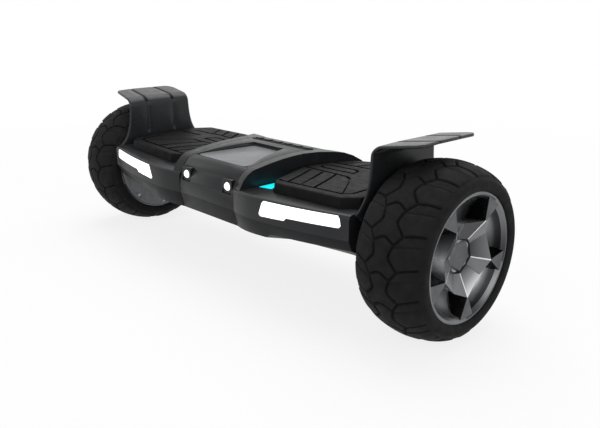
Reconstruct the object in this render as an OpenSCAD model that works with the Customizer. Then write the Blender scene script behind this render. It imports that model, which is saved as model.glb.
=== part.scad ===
// Self balancing hoverboard: two halves that twist on a middle tube, each with a hub motor wheel.
// X runs along the board, -Y is the front, Z is up from the floor, and the right half is at +X.

/* [Wheels] */
// Diameter of the tyres, as twice the height at which they carry the axles
wheel_d = 216; // [206:1:226]
// Width of each tyre over its sidewalls
tyre_w = 97; // [92:1:102]
// Distance from the middle of the board to the middle of each tyre
wheel_x = 329; // [325:1:350]
// Diameter of the rim's outer edge
rim_d = 157; // [152:1:164]
// How far the rim's edges sit in from the tyre's sidewalls
rim_in = 3.5; // [2:0.5:6]
// Thickness of the rim's two edges
flange_t = 4; // [3:0.5:6]
// Height of the rim's edges over the seat of the tyre
flange_h = 6.5; // [5:0.5:8]
// Number of spokes
spoke_count = 5; // [3:1:6]
// Turn of the first spoke about the axle
spoke_turn = 3; // [0:1:72]
// How far the hub cap sits in from the rim's outer edge
dish = 12; // [8:0.5:16]
// Diameter of the hub cap over its corners
hub_cap_d = 42; // [36:1:46]

/* [Motors] */
// Diameter of the fixed axles
axle_d = 17; // [15:1:20]
// Wall of the motor housing under the tyre
barrel_t = 5; // [4:0.5:7]
// Thickness of the magnet ring
magnet_t = 4; // [3:0.5:6]
// Gap between the magnets and the stator
air_gap = 0.8; // [0.5:0.1:1.2]
// Width of the stator's plates
stack_w = 34; // [26:1:36]
// Number of stator teeth
tooth_count = 27; // [18:3:36]
// Outside diameter of the wheel bearings
bearing_d = 35; // [32:1:40]
// Width of the wheel bearings
bearing_w = 10; // [8:1:12]
// Thickness of the inner motor cover
motor_cover_t = 4; // [3:0.5:5]
// Number of screws in each motor cover
cover_screw_count = 8; // [4:1:12]

/* [Body] */
// Half length of the middle cover, from the board's middle to a seam
seam_x = 65; // [60:1:70]
// Gap at each seam
seam_gap = 0.8; // [0.6:0.1:1]
// Greatest depth of the body, front to back
body_d = 217; // [210:1:224]
// Depth of the body at the seams
seam_d = 199; // [192:1:204]
// Depth of the body beside the wheels
end_d = 183; // [176:1:190]
// Distance from the board's middle to the deepest place
bulge_x = 115; // [108:1:122]
// Upward slope of each deck, in degrees
deck_slope = 2; // [0:0.5:3]
// Height of the deck's rim over the axle, at the seam
deck_rise = 40; // [37:0.5:44]
// Height of the split between upper and lower shells over the axle
split_rise = 9; // [7:0.5:10]
// Depth of the belly under the axle
belly_drop = 27; // [26:0.5:30]
// Flat width of the belly
belly_w = 94; // [92:1:100]
// Wall of the shells
shell_t = 3; // [2.5:0.25:3.5]
// Rounding of the deck's rim
rim_round = 6; // [3:0.5:8]
// Gap between the tyre and the fender
tyre_gap = 6.5; // [4:0.5:8]

/* [Hump] */
// Height of the hump's crown over the axle
hump_rise = 73.5; // [70:0.5:80]
// Drop of the hump's top from its crown to its front edge
hump_drop = 8; // [6:0.5:11]
// Distance of the crown behind the board's middle
crown_y = 20; // [12:1:40]
// Distance from the board's middle to the hump's side wall
wall_x = 80; // [78:1:84]
// Radius of the flare at the back of the side wall
flare_r = 100; // [80:1:120]
// Where the flare begins, behind the board's middle
flare_y = 6; // [0:1:12]

/* [Pads] */
// Height of the pad over the deck's rim
pad_rise = 13.5; // [11:0.5:16]
// Depth of the pocket that the pad sits in
pocket_h = 6; // [5:0.5:7]
// Travel of the pad when it is stood on
pad_travel = 2; // [1:0.25:2.5]
// Thickness of the pad's rubber
pad_t = 4; // [3.5:0.5:5]
// Slope of the pad's sides, as their run
pad_side = 3; // [2:0.5:6]
// Rise of the pad's top from its front to its back
pad_lift = 4; // [0:0.5:5]
// Width of the grooves in the pad
groove_w = 2.4; // [1.5:0.1:3]
// Depth of the grooves in the pad
groove_h = 1.6; // [0.8:0.1:2]

/* [Fenders] */
// Thickness of the fenders
fender_t = 4; // [3:0.5:5]
// Width of the fender at the top of its wall
fender_w = 116; // [106:1:124]
// Extra width of the fender at its foot, each side
fender_flare = 25; // [15:1:28]
// Height of the bend over the axle
bend_rise = 112; // [108:1:116]
// Inside radius of the bend
bend_r = 5; // [3:0.5:12]
// Slope of the lip in degrees
lip_slope = 12; // [8:1:18]
// Reach of the lip past the fender's wall
lip_reach = 61; // [50:1:70]
// Depth of the two creases
crease_h = 1.4; // [0.8:0.2:2]
// Width of the two creases
crease_w = 5; // [3:0.5:8]

/* [Lights] */
// Distance from the board's middle to the light bar's inner end
bar_x = 131; // [128:1:136]
// Length of a light bar
bar_l = 128; // [118:1:130]
// Height of a light bar at its inner end
bar_h_in = 19; // [17:0.5:21]
// Height of a light bar at its outer end
bar_h_out = 14.5; // [12:0.5:16]
// Step in the light bar's lower edge
bar_step = 4; // [3:0.5:5]
// Thickness of a light bar's lens
bar_t = 4; // [3.5:0.5:5]
// Side of the square headlight bezels
bezel_s = 20; // [18:0.5:22]
// Diameter of the headlight lenses
lens_d = 12; // [10:0.5:14]
// Distance from the board's middle to a headlight
headlight_x = 49; // [44:1:51]
// Height of the headlights over the axle
headlight_rise = 39.5; // [34:0.5:41]
// Number of indicator windows
indicator_count = 6; // [4:1:7]

/* [Pivot] */
// Outside diameter of the pivot tube
tube_d = 28; // [26:1:29]
// Wall of the pivot tube
tube_t = 3; // [2.5:0.5:4]
// Outside diameter of the bushes
bush_d = 34; // [33:0.5:36]
// Outside diameter of the frame's pivot boss
boss_d = 44; // [42:1:45]
// Twist of one half against the other, each way, in degrees
twist = 12; // [8:1:14]
// Diameter of the pin that stops the twist
stop_pin_d = 6; // [5:0.5:7]

/* [Ports] */
// Diameter of the power button
button_d = 15; // [13:0.5:17]
// Travel of the power button
button_travel = 1.6; // [1:0.1:2]
// Bore of the charging socket
socket_bore = 13; // [12:0.5:14]
// Distance from the board's middle to the power button
button_x = 98; // [95:1:100]
// Distance from the board's middle to the charging socket
socket_x = 132; // [129:1:135]

/* [Hidden] */
$fn = 64;

// Clearances: between pieces that are fixed together, that are let in, and that move
fit = 0.05;
let_in = 0.2;
run = 0.4;
// An overlap that makes a cut go right through
over = 1;

// Levels
axle_z = wheel_d / 2;
deck_z = axle_z + deck_rise;
split_z = axle_z + split_rise;
belly_z = axle_z - belly_drop;
hump_z = axle_z + hump_rise;
pocket_z = deck_z - pocket_h;
pad_z = deck_z + pad_rise;
ceiling_z = pocket_z - shell_t;

// Places along the board
shell_in = seam_x + seam_gap / 2;
shell_end = wheel_x - tyre_w / 2 - tyre_gap - fender_t;

// Points along an ellipse from angle a0 to a1
function arc(c, rx, ry, a0, a1, n) =
    [for (i = [0:n]) let (a = a0 + (a1 - a0) * i / n) c + [rx * cos(a), ry * sin(a)]];
function unit(v) = v / norm(v);
// A counterclockwise outline moved inwards by d
function inset(p, d) = [
    for (i = [0:len(p) - 1])
        let (n = len(p), u = unit(p[i] - p[(i + n - 1) % n]), v = unit(p[(i + 1) % n] - p[i]))
        let (a = [-u[1], u[0]], b = [-v[1], v[0]])
        p[i] + (a + b) * d / (1 + a * b)
];
function blend(a, b, t) = a + (b - a) * min(max(t, 0), 1);

// A skin over rings of points, each counterclockwise as seen from the end of the stack
module loft(rings) {
    n = len(rings[0]);
    m = len(rings);
    sides = [
        for (j = [0:m - 2], i = [0:n - 1])
            let (k = (i + 1) % n)
            each [[j * n + i, (j + 1) * n + k, j * n + k], [j * n + i, (j + 1) * n + i, (j + 1) * n + k]]
    ];
    first = [for (i = [0:n - 1]) i];
    last = [for (i = [n - 1:-1:0]) (m - 1) * n + i];
    polyhedron([for (r = rings) each r], concat(sides, [first, last]));
}

// Extrudes a (y, z) outline along X from x0 to x1
module along_x(x0, x1) {
    translate([x0, 0, 0]) rotate([90, 0, 90]) linear_extrude(x1 - x0) children();
}

// Extrudes an (x, z) outline along Y from y0 to y1
module along_y(y0, y1) {
    translate([0, y1, 0]) rotate([90, 0, 0]) linear_extrude(y1 - y0) children();
}

// Turns a shape made about Z so that Z runs out along the wheel's axle, from the tyre's middle
module on_axle() {
    translate([wheel_x, 0, axle_z]) rotate([0, 90, 0]) children();
}

// Gives a shape made at the seam the slope of the deck
module sloped() {
    translate([seam_x, 0, deck_z]) rotate([0, -deck_slope, 0]) translate([-seam_x, 0, -deck_z]) children();
}

// A rod along X, about the pivot axis
module pivot_rod(d, x0, x1) {
    translate([x0, 0, axle_z]) rotate([0, 90, 0]) cylinder(d = d, h = x1 - x0);
}

// Body outlines

// Half depth of the body at x
function half_d(x) =
    x < bulge_x
        ? body_d / 2 - (body_d - seam_d) / 2 * pow((bulge_x - x) / (bulge_x - seam_x), 2)
        : body_d / 2 - (body_d - end_d) / 2 * pow((x - bulge_x) / (shell_end - bulge_x), 2);
function rise(x) = (x - seam_x) * tan(deck_slope);
function stations(x0, x1) = concat(
    [for (i = [0:4]) x0 + (bulge_x - x0) * i / 5],
    [for (i = [0:8]) bulge_x + (x1 - bulge_x) * i / 8]
);

// Deck section at x, moved in by d, from z0 to z1 with a rounded rim r
function deck_ring(x, d, z0, z1, r) =
    let (w = half_d(x) - d, h = rise(x))
    let (back = arc([w - r, z1 - r + h], r, r, 0, 90, 4), front = arc([r - w, z1 - r + h], r, r, 90, 180, 4))
    [for (p = concat([[-w, z0 + h], [w, z0 + h]], back, front)) [x, p[0], p[1]]];

// The lower edge of the body's front and back rises outwards and steps up at the chin, and the belly with it
chin_x = 136;
chin_run = 9;
chin_drop = 14;
edge_drop = 8.3;
edge_slope = 3;
edge_in = 6;
belly_step = 7;
function past_chin(x) = (x - chin_x) / chin_run;
function edge_z(x) = axle_z - blend(chin_drop, edge_drop, past_chin(x)) + (x - seam_x) * tan(edge_slope);
function belly_at(x) = belly_z + blend(0, belly_step, past_chin(x));
function belly_ring(x, d, top) =
    let (w = half_d(x), z = edge_z(x), b = belly_w / 2)
    let (side = split_z + rise(x), low = belly_at(x))
    let (p = [[-b, low], [b, low], [w - edge_in, z], [w, side], [-w, side], [edge_in - w, z]])
    let (q = inset(p, d))
    [for (v = [q[0], q[1], q[2], [q[3][0], p[3][1] + top], [q[4][0], p[4][1] + top], q[5]]) [x, v[0], v[1]]];
function belly_stations(x0, x1) = concat(
    [for (i = [0:3]) x0 + (bulge_x - x0) * i / 4],
    [bulge_x, chin_x, chin_x + chin_run],
    [for (i = [1:5]) chin_x + chin_run + (x1 - chin_x - chin_run) * i / 5]
);

// The hump's section: a crowned top between two rounded edges
front_run = 36;
back_run = 40;
front_spring = 20;
back_spring = 27;
hump_back = seam_d / 2 - back_run;
hump_front = front_run - seam_d / 2;
crown_bend = hump_drop / pow(crown_y - hump_front, 2);
function crown(y) = hump_z - crown_bend * pow(y - crown_y, 2);
function hump_outline() =
    let (zf = axle_z + front_spring, zb = axle_z + back_spring)
    concat(
        [[-seam_d / 2, split_z], [seam_d / 2, split_z]],
        arc([hump_back, zb], back_run, crown(hump_back) - zb, 0, 90, 6),
        [for (i = [1:5]) let (y = hump_back + (hump_front - hump_back) * i / 6) [y, crown(y)]],
        arc([hump_front, zf], front_run, crown(hump_front) - zf, 90, 180, 6)
    );
function hump_ring(x, d, drop) =
    let (p = inset(hump_outline(), d), s = half_d(x) / (seam_d / 2))
    [for (i = [0:len(p) - 1]) [x, p[i][0] * s, p[i][1] + (i < 2 ? rise(x) - drop : 0)]];
function wall_at(y) = wall_x + (y > flare_y ? pow(y - flare_y, 2) / (2 * flare_r) : 0);
function wall_outline(d) = concat(
    [[shell_in - d, -body_d], [wall_x - d, -body_d]],
    [for (i = [0:5]) let (y = flare_y + (body_d / 2 + over - flare_y) * i / 5) [wall_at(y) - d, y]],
    [[shell_in - d, body_d / 2 + over]]
);

// The shoulder is the end of the hump that belongs to a half
module shoulder(d, drop) {
    last_x = wall_at(body_d / 2) + over;
    steps = 6;
    intersection() {
        loft([for (i = [0:steps]) hump_ring(shell_in + d + (last_x - shell_in - d) * i / steps, d, drop)]);
        translate([0, 0, belly_z]) linear_extrude(hump_z) polygon(wall_outline(d));
    }
}

// Pad outline, as seen from above
pad_end = shell_end - 11;
pad_front = 74;
pad_back = 97;
pad_wall_gap = pad_side + run + 0.8;
pad_nose_x = 124;
pad_corner_x = 20;
pad_corner_y = 17;
pad_tail = 20;
pad_tail_y = 12;
pad_tail_l = 90;
pad_in_y = 14;
function pad_outline() = concat(
    [
        [pad_nose_x, -pad_front],
        [pad_end - pad_corner_x, -pad_front],
        [pad_end, pad_corner_y - pad_front],
        [pad_end, pad_back - pad_tail_y - pad_tail * 1.5],
        [pad_end - pad_tail, pad_back - pad_tail_y],
        [pad_end - pad_tail - pad_tail_l, pad_back]
    ],
    [for (i = [0:3])
        let (y = pad_back - 10 + (pad_in_y - pad_back + 10) * i / 3)
        [wall_at(y) + pad_wall_gap, y]],
    [[pad_nose_x - 13, 11 - pad_front]]
);
pad_under = pocket_z + pad_travel + 0.3;
guide_posts = [[pad_nose_x + 6, -50], [pad_end - 28, -50], [pad_nose_x + 6, 50], [pad_end - 28, 50]];
guide_d = 10;

// Fasteners of the shells
pillar_d = 11;
screw_d = 4;
screw_head_d = 8;
screw_head_h = 3;
screw_head_z = axle_z - 2;
screw_grip = 16;
frame_w = 120;
shell_screws = [[158, 86], [206, 80], [shell_end - 20, frame_w / 2 + pillar_d / 2 + 0.5]];
frame_t = 5;
frame_z = axle_z + 20;
frame_in = shell_in + shell_t + 1;
clamp_x0 = shell_end - 46;
clamp_x1 = shell_end - 8;
frame_screw_y = frame_w / 2 - frame_t - screw_head_d / 2 - 1.5;
frame_screws = [[frame_in + 36, frame_screw_y], [clamp_x0 - 14, frame_screw_y]];
fender_screws = [-45, 45];
fender_screw_z = axle_z + 31.5;

// Ports in the back of the right half
port_z = axle_z + 22;
button_y = half_d(button_x);
socket_y = half_d(socket_x);
cap_w = 24;
cap_h = 20;
cap_t = 2.4;
hinge_z = port_z + 11;
socket_d = socket_bore + 6;
socket_h = 18;
socket_deep = 11;
contact_d = 1.8;
contact_l = 3;
contact_r = 3.2;

// Light bar outline in (x, z), with its lower edge stepped
bar_under_rim = 2.6;
bar_step_x = bar_x + 43;
bar_step_run = 4;
bar_end = bar_x + bar_l;
bar_corner = 3;
bar_slant = 4;
function bar_top(x) = deck_z + rise(x) - bar_under_rim;
function bar_low(x) = bar_top(x) - blend(bar_h_in, bar_h_out, (x - bar_x) / bar_l);
function bar_outline() = [
    [bar_x - bar_slant / 2, bar_low(bar_x) + bar_corner - bar_step / 2],
    [bar_x - bar_slant / 2 + bar_corner, bar_low(bar_x) - bar_step / 2],
    [bar_step_x, bar_low(bar_step_x) - bar_step / 2],
    [bar_step_x + bar_step_run, bar_low(bar_step_x) + bar_step / 2],
    [bar_end - bar_corner, bar_low(bar_end)],
    [bar_end, bar_low(bar_end) + bar_corner],
    [bar_end - bar_corner / 2, bar_top(bar_end) - bar_corner],
    [bar_end - bar_corner * 1.5, bar_top(bar_end)],
    [bar_x + bar_slant + bar_corner, bar_top(bar_x)],
    [bar_x + bar_slant, bar_top(bar_x) - bar_corner]
];
// The front face between x0 and x1, from d0 in front of the body's outline to d1 behind it
module front_band(x0, x1, d0, d1) {
    n = 12;
    xs = [for (i = [0:n]) x0 + (x1 - x0) * i / n];
    outer = [for (x = xs) [x, -half_d(x) - d0]];
    inner = [for (i = [n:-1:0]) [xs[i], d1 - half_d(xs[i])]];
    translate([0, 0, belly_z]) linear_extrude(hump_rise + belly_drop) polygon(concat(outer, inner));
}

// Accent light, a wedge on the deck between the hump's wall and the pad
function accent_outline(d) = [
    [wall_x + accent_in + d, accent_y0 + d],
    [pad_nose_x - accent_nose - d, accent_y0 + 3 + d],
    [wall_x + accent_in + 3 - d, accent_y1 - d],
    [wall_x + accent_in + d, accent_y1 - d]
];
accent_t = 3;
accent_in = 4;
accent_nose = 19;
accent_y0 = -69;
accent_y1 = -12;

// Centre cover details
panel_front = 61;
panel_back = 34;
panel_y0 = -72;
panel_y1 = 20;
panel_t = 2;
panel_z0 = crown(panel_y0);
panel_sunk = 4;
panel_slope = atan((crown(panel_y1) - panel_sunk - panel_z0) / (panel_y1 - panel_y0));
module panel_shape(d, z0, z1) {
    translate([0, panel_y0, panel_z0])
        rotate([panel_slope, 0, 0])
            translate([0, 0, z0])
                linear_extrude(z1 - z0)
                    polygon([
                        [-panel_front - d, -d],
                        [panel_front + d, -d],
                        [panel_back + d, panel_y1 - panel_y0 + d],
                        [-panel_back - d, panel_y1 - panel_y0 + d]
                    ]);
}
indicator_y = 46;
indicator_span = 112;
indicator_w = 13;
indicator_l = 7;
function indicator_x(i) = indicator_span * (i / (indicator_count - 1) - 0.5);
module indicator_windows(d, z0, z1) {
    for (i = [0:indicator_count - 1])
        translate([indicator_x(i), indicator_y, (z0 + z1) / 2])
            cube([indicator_w + 2 * d, indicator_l + 2 * d, z1 - z0], center = true);
}
headlight_z = axle_z + headlight_rise;
headlight_y = -seam_d / 2 + 2.6;
bezel_l = 14;
lens_bulge = 4.5;
saddle_x = 34;
cover_half = seam_x - seam_gap / 2;

// Pivot places
boss_end = cover_half - 6;
collar_l = 26;
tube_x0 = -frame_in - collar_l;
bush_l = 18;
bush_flange_t = 2;
stop_x = 0;
clip_w = 2;
boss_right = frame_in + collar_l;
clip_x = boss_right + bush_flange_t + let_in;
tube_x1 = clip_x + clip_w + 5;

// Wheel sizes, as radii and distances out from the tyre's middle
tyre_give = 0.4;
tyre_r = wheel_d / 2 + tyre_give;
rim_r = rim_d / 2;
seat_r = rim_r - flange_h;
barrel_r = seat_r - barrel_t;
rim_out = tyre_w / 2 - rim_in;
web_t = 4;
web_in = rim_out - 28.5;
web_out = web_in + web_t;
hub_r = hub_cap_d / 2 - 1;
hub_out = rim_out - dish - 4;
bearing_r = bearing_d / 2;
housing_r = bearing_r + 5;
stator_r = barrel_r - magnet_t - air_gap;
motor_mid = (web_in - rim_out) / 2;
axle_r = axle_d / 2;
axle_in = clamp_x0 + 2 - wheel_x;
axle_out = web_in - 1;
cover_r = rim_r - 1.5;
cover_screw_r = seat_r - barrel_t / 2;
cover_screw_d = 3;

// Wheels

// The tyre's height at u, from -1 at one sidewall to 1 at the other, above its widest place
wide_r = rim_r + 8;
function tread_r(u) = wide_r + (tyre_r - wide_r) * pow(1 - pow(abs(u), 1.7), 1 / 2.3);
// The sidewall from the widest place in to the rim's edge
function sidewall(s) = [
    for (i = [1:4])
        let (a = 90 * i / 4)
        [
            wide_r - (wide_r - rim_r - fit) * sin(a),
            s * (rim_out + fit + (tyre_w / 2 - rim_out - fit) * cos(a))
        ]
];
module tyre() {
    n = 14;
    seat = rim_out - flange_t - fit;
    tread = [for (i = [-n:n]) let (u = sin(90 * i / n)) [tread_r(u), u * tyre_w / 2]];
    inner = sidewall(-1);
    crown_points = concat([for (i = [3:-1:0]) inner[i]], tread, sidewall(1));
    difference() {
        on_axle()
            difference() {
                rotate_extrude()
                    polygon(concat(
                        [[seat_r + fit, seat], [seat_r + fit, -seat], [rim_r + fit, -seat]],
                        crown_points,
                        [[rim_r + fit, seat]]
                    ));
                tread_cuts();
            }
        // The patch that bears on the floor, where the tyre gives under the board's own weight
        translate([wheel_x - tyre_w / 2, -tyre_w / 2, -tyre_w]) cube([tyre_w, tyre_w, tyre_w]);
    }
}

// Slots across both shoulders of the tread
lug_count = 16;
lug_slot = 5;
lug_deep = 4;
module tread_cuts() {
    for (k = [0:lug_count - 1], s = [-1, 1])
        rotate(360 / lug_count * (k + s / 4))
            translate([tread_r(0.72) - lug_deep, -lug_slot / 2, s * tyre_w * 0.36 - tyre_w * 0.11])
                rotate([0, s * 38, 0])
                    cube([4 * lug_deep, lug_slot, tyre_w * 0.22]);
}

// A blade like spoke: a ridge that forks into a flat tip, steep on one side and sloping on the other
module spoke() {
    ridge_r = hub_cap_d / 2 + 0.5;
    ridge_in = hub_out + 2;
    ridge_out = rim_out - 7;
    tip_r = rim_r - 3;
    foot_z = web_out - over;
    points = [
        [ridge_r, 0, ridge_in],
        [49, 0, ridge_out],
        [tip_r, 15, rim_out - 1],
        [tip_r, -15, rim_out - 1],
        [8, 0, foot_z],
        [44, 5, foot_z],
        [tip_r, 17, foot_z],
        [tip_r, -21, foot_z],
        [40, -32, foot_z]
    ];
    corners = [for (p = points) [p[0] * cos(p[1]), p[0] * sin(p[1]), p[2]]];
    polyhedron(corners, [
        [0, 8, 4], [0, 1, 8], [1, 7, 8], [1, 3, 7], [7, 3, 6], [3, 2, 6], [2, 5, 6], [2, 1, 5],
        [1, 4, 5], [1, 0, 4], [1, 2, 3], [4, 8, 5], [8, 7, 5], [7, 6, 5]
    ]);
}

module cover_screw_places() {
    for (k = [0:cover_screw_count - 1])
        rotate(360 / cover_screw_count * k) translate([cover_screw_r, 0, 0]) children();
}

module rim() {
    on_axle()
        difference() {
            union() {
                rotate_extrude()
                    polygon([
                        [0, hub_out], [hub_r, hub_out], [hub_r, web_out], [barrel_r - 2, web_out],
                        [seat_r - 2.5, rim_out - flange_t], [rim_r - 3, rim_out - 0.8],
                        [rim_r - 2.4, rim_out], [rim_r, rim_out],
                        [rim_r, rim_out - flange_t], [seat_r, rim_out - flange_t],
                        [seat_r, flange_t - rim_out], [rim_r, flange_t - rim_out], [rim_r, -rim_out],
                        [barrel_r, -rim_out], [barrel_r, web_in], [housing_r, web_in],
                        [housing_r, web_in - bearing_w], [bearing_r, web_in - bearing_w], [bearing_r, web_in],
                        [axle_r + 1, web_in], [axle_r + 1, web_in + 2], [0, web_in + 2]
                    ]);
                intersection() {
                    for (k = [0:spoke_count - 1])
                        rotate(spoke_turn + 360 / spoke_count * k) spoke();
                    union() {
                        translate([0, 0, web_in]) cylinder(r = seat_r - 1, h = rim_out - web_in);
                        translate([0, 0, rim_out - flange_t + 0.5]) cylinder(r = rim_r - 1, h = flange_t);
                    }
                }
            }
            translate([0, 0, hub_out - 5]) cylinder(d = 8, h = 5 + dish);
            translate([0, 0, hub_out]) cylinder(d = hub_cap_d + 2 * let_in, h = dish);
            cover_screw_places()
                translate([0, 0, -rim_out - over]) cylinder(d = cover_screw_d + 2 * fit, h = 12 + over);
        }
}

// A cap with a flat side for each spoke and a stub that plugs into the hub
module hub_cap() {
    on_axle() {
        translate([0, 0, hub_out])
            rotate(spoke_turn + 180 / spoke_count)
                rotate_extrude($fn = spoke_count)
                    polygon([[0, 0], [hub_cap_d / 2, 0], [hub_cap_d / 2 - 3, 2.5], [9, 4], [0, 4]]);
        translate([0, 0, hub_out - 4]) cylinder(d = 8 - 2 * fit, h = 4 + 0.5);
    }
}

module motor_cover() {
    inner = -rim_out;
    on_axle()
        difference() {
            rotate_extrude()
                polygon([
                    [axle_r + run, inner - motor_cover_t], [cover_r - 2, inner - motor_cover_t],
                    [cover_r, inner - motor_cover_t + 2],
                    [cover_r, inner], [housing_r, inner], [housing_r, inner + bearing_w - 1],
                    [bearing_r + fit, inner + bearing_w - 1], [bearing_r + fit, inner - 1],
                    [axle_r + run, inner - 1]
                ]);
            cover_screw_places() {
                translate([0, 0, inner - motor_cover_t - over])
                    cylinder(d = cover_screw_d + 2 * let_in, h = motor_cover_t + 2 * over);
                translate([0, 0, inner - motor_cover_t - over]) cylinder(d = cover_screw_d * 2, h = 2 + over);
            }
        }
}

module cover_screws() {
    on_axle()
        cover_screw_places() {
            translate([0, 0, -rim_out - motor_cover_t]) cylinder(d = cover_screw_d * 2 - 2 * let_in, h = 2);
            translate([0, 0, -rim_out - motor_cover_t]) cylinder(d = cover_screw_d, h = motor_cover_t + 10);
        }
}

module magnet_ring() {
    on_axle()
        translate([0, 0, motor_mid - stack_w / 2])
            difference() {
                cylinder(r = barrel_r - fit, h = stack_w);
                translate([0, 0, -over]) cylinder(r = barrel_r - magnet_t, h = stack_w + 2 * over);
            }
}

module bearing() {
    rotate_extrude()
        polygon([
            [axle_r + fit, 0], [axle_r + 3, 0], [axle_r + 3, 0.8],
            [bearing_r - 3, 0.8], [bearing_r - 3, 0], [bearing_r - fit, 0],
            [bearing_r - fit, bearing_w], [bearing_r - 3, bearing_w], [bearing_r - 3, bearing_w - 0.8],
            [axle_r + 3, bearing_w - 0.8], [axle_r + 3, bearing_w], [axle_r + fit, bearing_w]
        ]);
}
module bearings() {
    on_axle() {
        translate([0, 0, -rim_out - 1]) bearing();
        translate([0, 0, web_in - bearing_w]) bearing();
    }
}

// The fixed axle has a flat on each side where the clamp holds it
flat_in = 2;
wire_d = 7;
wire_l = 70;
module axle() {
    on_axle()
        difference() {
            translate([0, 0, axle_in]) cylinder(r = axle_r, h = axle_out - axle_in);
            translate([0, 0, axle_in - over]) cylinder(d = wire_d, h = wire_l);
            for (s = [-1, 1])
                translate([-axle_d, s * (axle_r + 10 - flat_in) - 10, axle_in - over])
                    cube([2 * axle_d, 20, clamp_x1 - clamp_x0 + over]);
        }
}

// The wound stator: a toothed stack on a hub, with the turns of its coils at both ends
module stator() {
    coil = 6;
    yoke_r = stator_r * 0.7;
    on_axle()
        translate([0, 0, motor_mid]) {
            difference() {
                union() {
                    translate([0, 0, -stack_w / 2])
                        linear_extrude(stack_w)
                            difference() {
                                circle(stator_r);
                                circle(yoke_r);
                                for (k = [0:tooth_count - 1])
                                    rotate(360 / tooth_count * k)
                                        translate([stator_r - 8, -1.2]) square([12, 2.4]);
                            }
                    translate([0, 0, -5]) cylinder(r = yoke_r + 0.5, h = 10);
                    translate([0, 0, -stack_w / 2]) cylinder(r = axle_r + 6, h = stack_w);
                }
                translate([0, 0, -stack_w]) cylinder(r = axle_r + fit, h = 2 * stack_w);
            }
            for (s = [-1, 1])
                rotate_extrude()
                    translate([(stator_r + yoke_r) / 2, s * (stack_w / 2 + coil / 2)])
                        square([stator_r - yoke_r - 4, coil], center = true);
        }
}

// Frames and pivot

frame_hole_x = [60, 95];
frame_hole_d = 22;
rib_drop = 14;
rib_short = 30;
block_w = 52;
// The half that both frames share: deck plate, side ribs, pivot boss and axle block
module frame_half() {
    difference() {
        union() {
            translate([frame_in, -frame_w / 2, frame_z]) cube([clamp_x1 - frame_in, frame_w, frame_t]);
            for (s = [-1, 1])
                translate([frame_in, s * (frame_w / 2 - frame_t / 2) - frame_t / 2, frame_z - rib_drop])
                    cube([clamp_x0 - rib_short - frame_in, frame_t, rib_drop]);
            pivot_rod(boss_d, frame_in, frame_in + collar_l);
            translate([frame_in, -boss_d / 2, axle_z]) cube([collar_l, boss_d, frame_z - axle_z + over]);
            translate([clamp_x0, -block_w / 2, axle_z])
                cube([clamp_x1 - clamp_x0, block_w, frame_z - axle_z + over]);
        }
        translate([clamp_x0 - over, 0, axle_z]) rotate([0, 90, 0])
            cylinder(r = axle_r + fit, h = clamp_x1 - clamp_x0 + 2 * over);
        clamp_bolt_places() translate([0, 0, axle_z - over])
            cylinder(d = clamp_bolt_d + 2 * fit, h = clamp_thread + 2 * over);
        for (p = frame_screws, s = [-1, 1])
            translate([p[0], s * p[1], frame_z - over])
                cylinder(d = screw_d + 2 * let_in, h = frame_t + 2 * over);
        for (x = frame_hole_x)
            translate([frame_in + x, 0, frame_z - over]) cylinder(d = frame_hole_d, h = frame_t + 2 * over);
    }
}

// The right frame's boss runs under the middle cover and holds the bushes
module right_frame() {
    color("#9a9da0")
        difference() {
            union() {
                frame_half();
                pivot_rod(boss_d, -boss_end, frame_in + 1);
            }
            pivot_rod(bush_d + 2 * fit, -boss_end - over, frame_in + collar_l + over);
            translate([stop_x, 0, axle_z]) stop_slot();
        }
}

// The left frame's collar grips the pivot tube
module left_frame() {
    color("#9a9da0")
        difference() {
            mirror([1, 0, 0]) frame_half();
            pivot_rod(tube_d + 2 * fit, tube_x0 - over, -frame_in + over);
        }
}

// A slot about the pivot axis that lets the stop pin swing
module stop_slot() {
    half_angle = twist + asin(stop_pin_d / tube_d) + 3;
    reach = boss_d;
    rotate([90, 0, 90])
        translate([0, 0, -stop_pin_d / 2 - run])
            linear_extrude(stop_pin_d + 2 * run)
                polygon(concat(
                    [[0, 0]],
                    [for (i = [-4:4]) reach * [sin(-half_angle * i / 4), cos(half_angle * i / 4)]]
                ));
}

module pivot_tube() {
    color("#b8bcc0")
        difference() {
            pivot_rod(tube_d, tube_x0, tube_x1);
            pivot_rod(tube_d - 2 * tube_t, tube_x0 - over, tube_x1 + over);
            translate([stop_x, 0, axle_z]) cylinder(d = stop_pin_d + 2 * fit, h = tube_d);
            difference() {
                pivot_rod(tube_d + 2, clip_x, clip_x + clip_w + 2 * let_in);
                pivot_rod(tube_d - 2, clip_x - over, clip_x + clip_w + over);
            }
        }
}

// A flanged bush at each end of the right frame's boss
module pivot_bushes() {
    color("#b08d57")
        for (s = [-1, 1])
            difference() {
                union() {
                    pivot_rod(bush_d, bush_in(s), bush_in(s) + bush_l);
                    pivot_rod(bush_d + 4, bush_flange(s), bush_flange(s) + bush_flange_t);
                }
                pivot_rod(tube_d + 2 * fit, bush_in(s) - bush_l, bush_in(s) + 2 * bush_l);
            }
}
function bush_in(s) = s < 0 ? -boss_end : boss_right - bush_l;
function bush_flange(s) = s < 0 ? -boss_end - bush_flange_t : boss_right;

module pivot_clip() {
    color("#7d8084")
        difference() {
            pivot_rod(tube_d + 8, clip_x + let_in, clip_x + let_in + clip_w);
            pivot_rod(tube_d - 2 + 2 * fit, clip_x - over, clip_x + clip_w + 2 * over);
            translate([clip_x - over, -4, axle_z - tube_d]) cube([clip_w + 4 * over, 8, tube_d]);
        }
}

module stop_pin() {
    color("#7d8084")
        translate([stop_x, 0, axle_z + tube_d / 2 - tube_t])
            cylinder(d = stop_pin_d, h = boss_d / 2 - tube_d / 2 + tube_t - 0.5);
}

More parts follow.
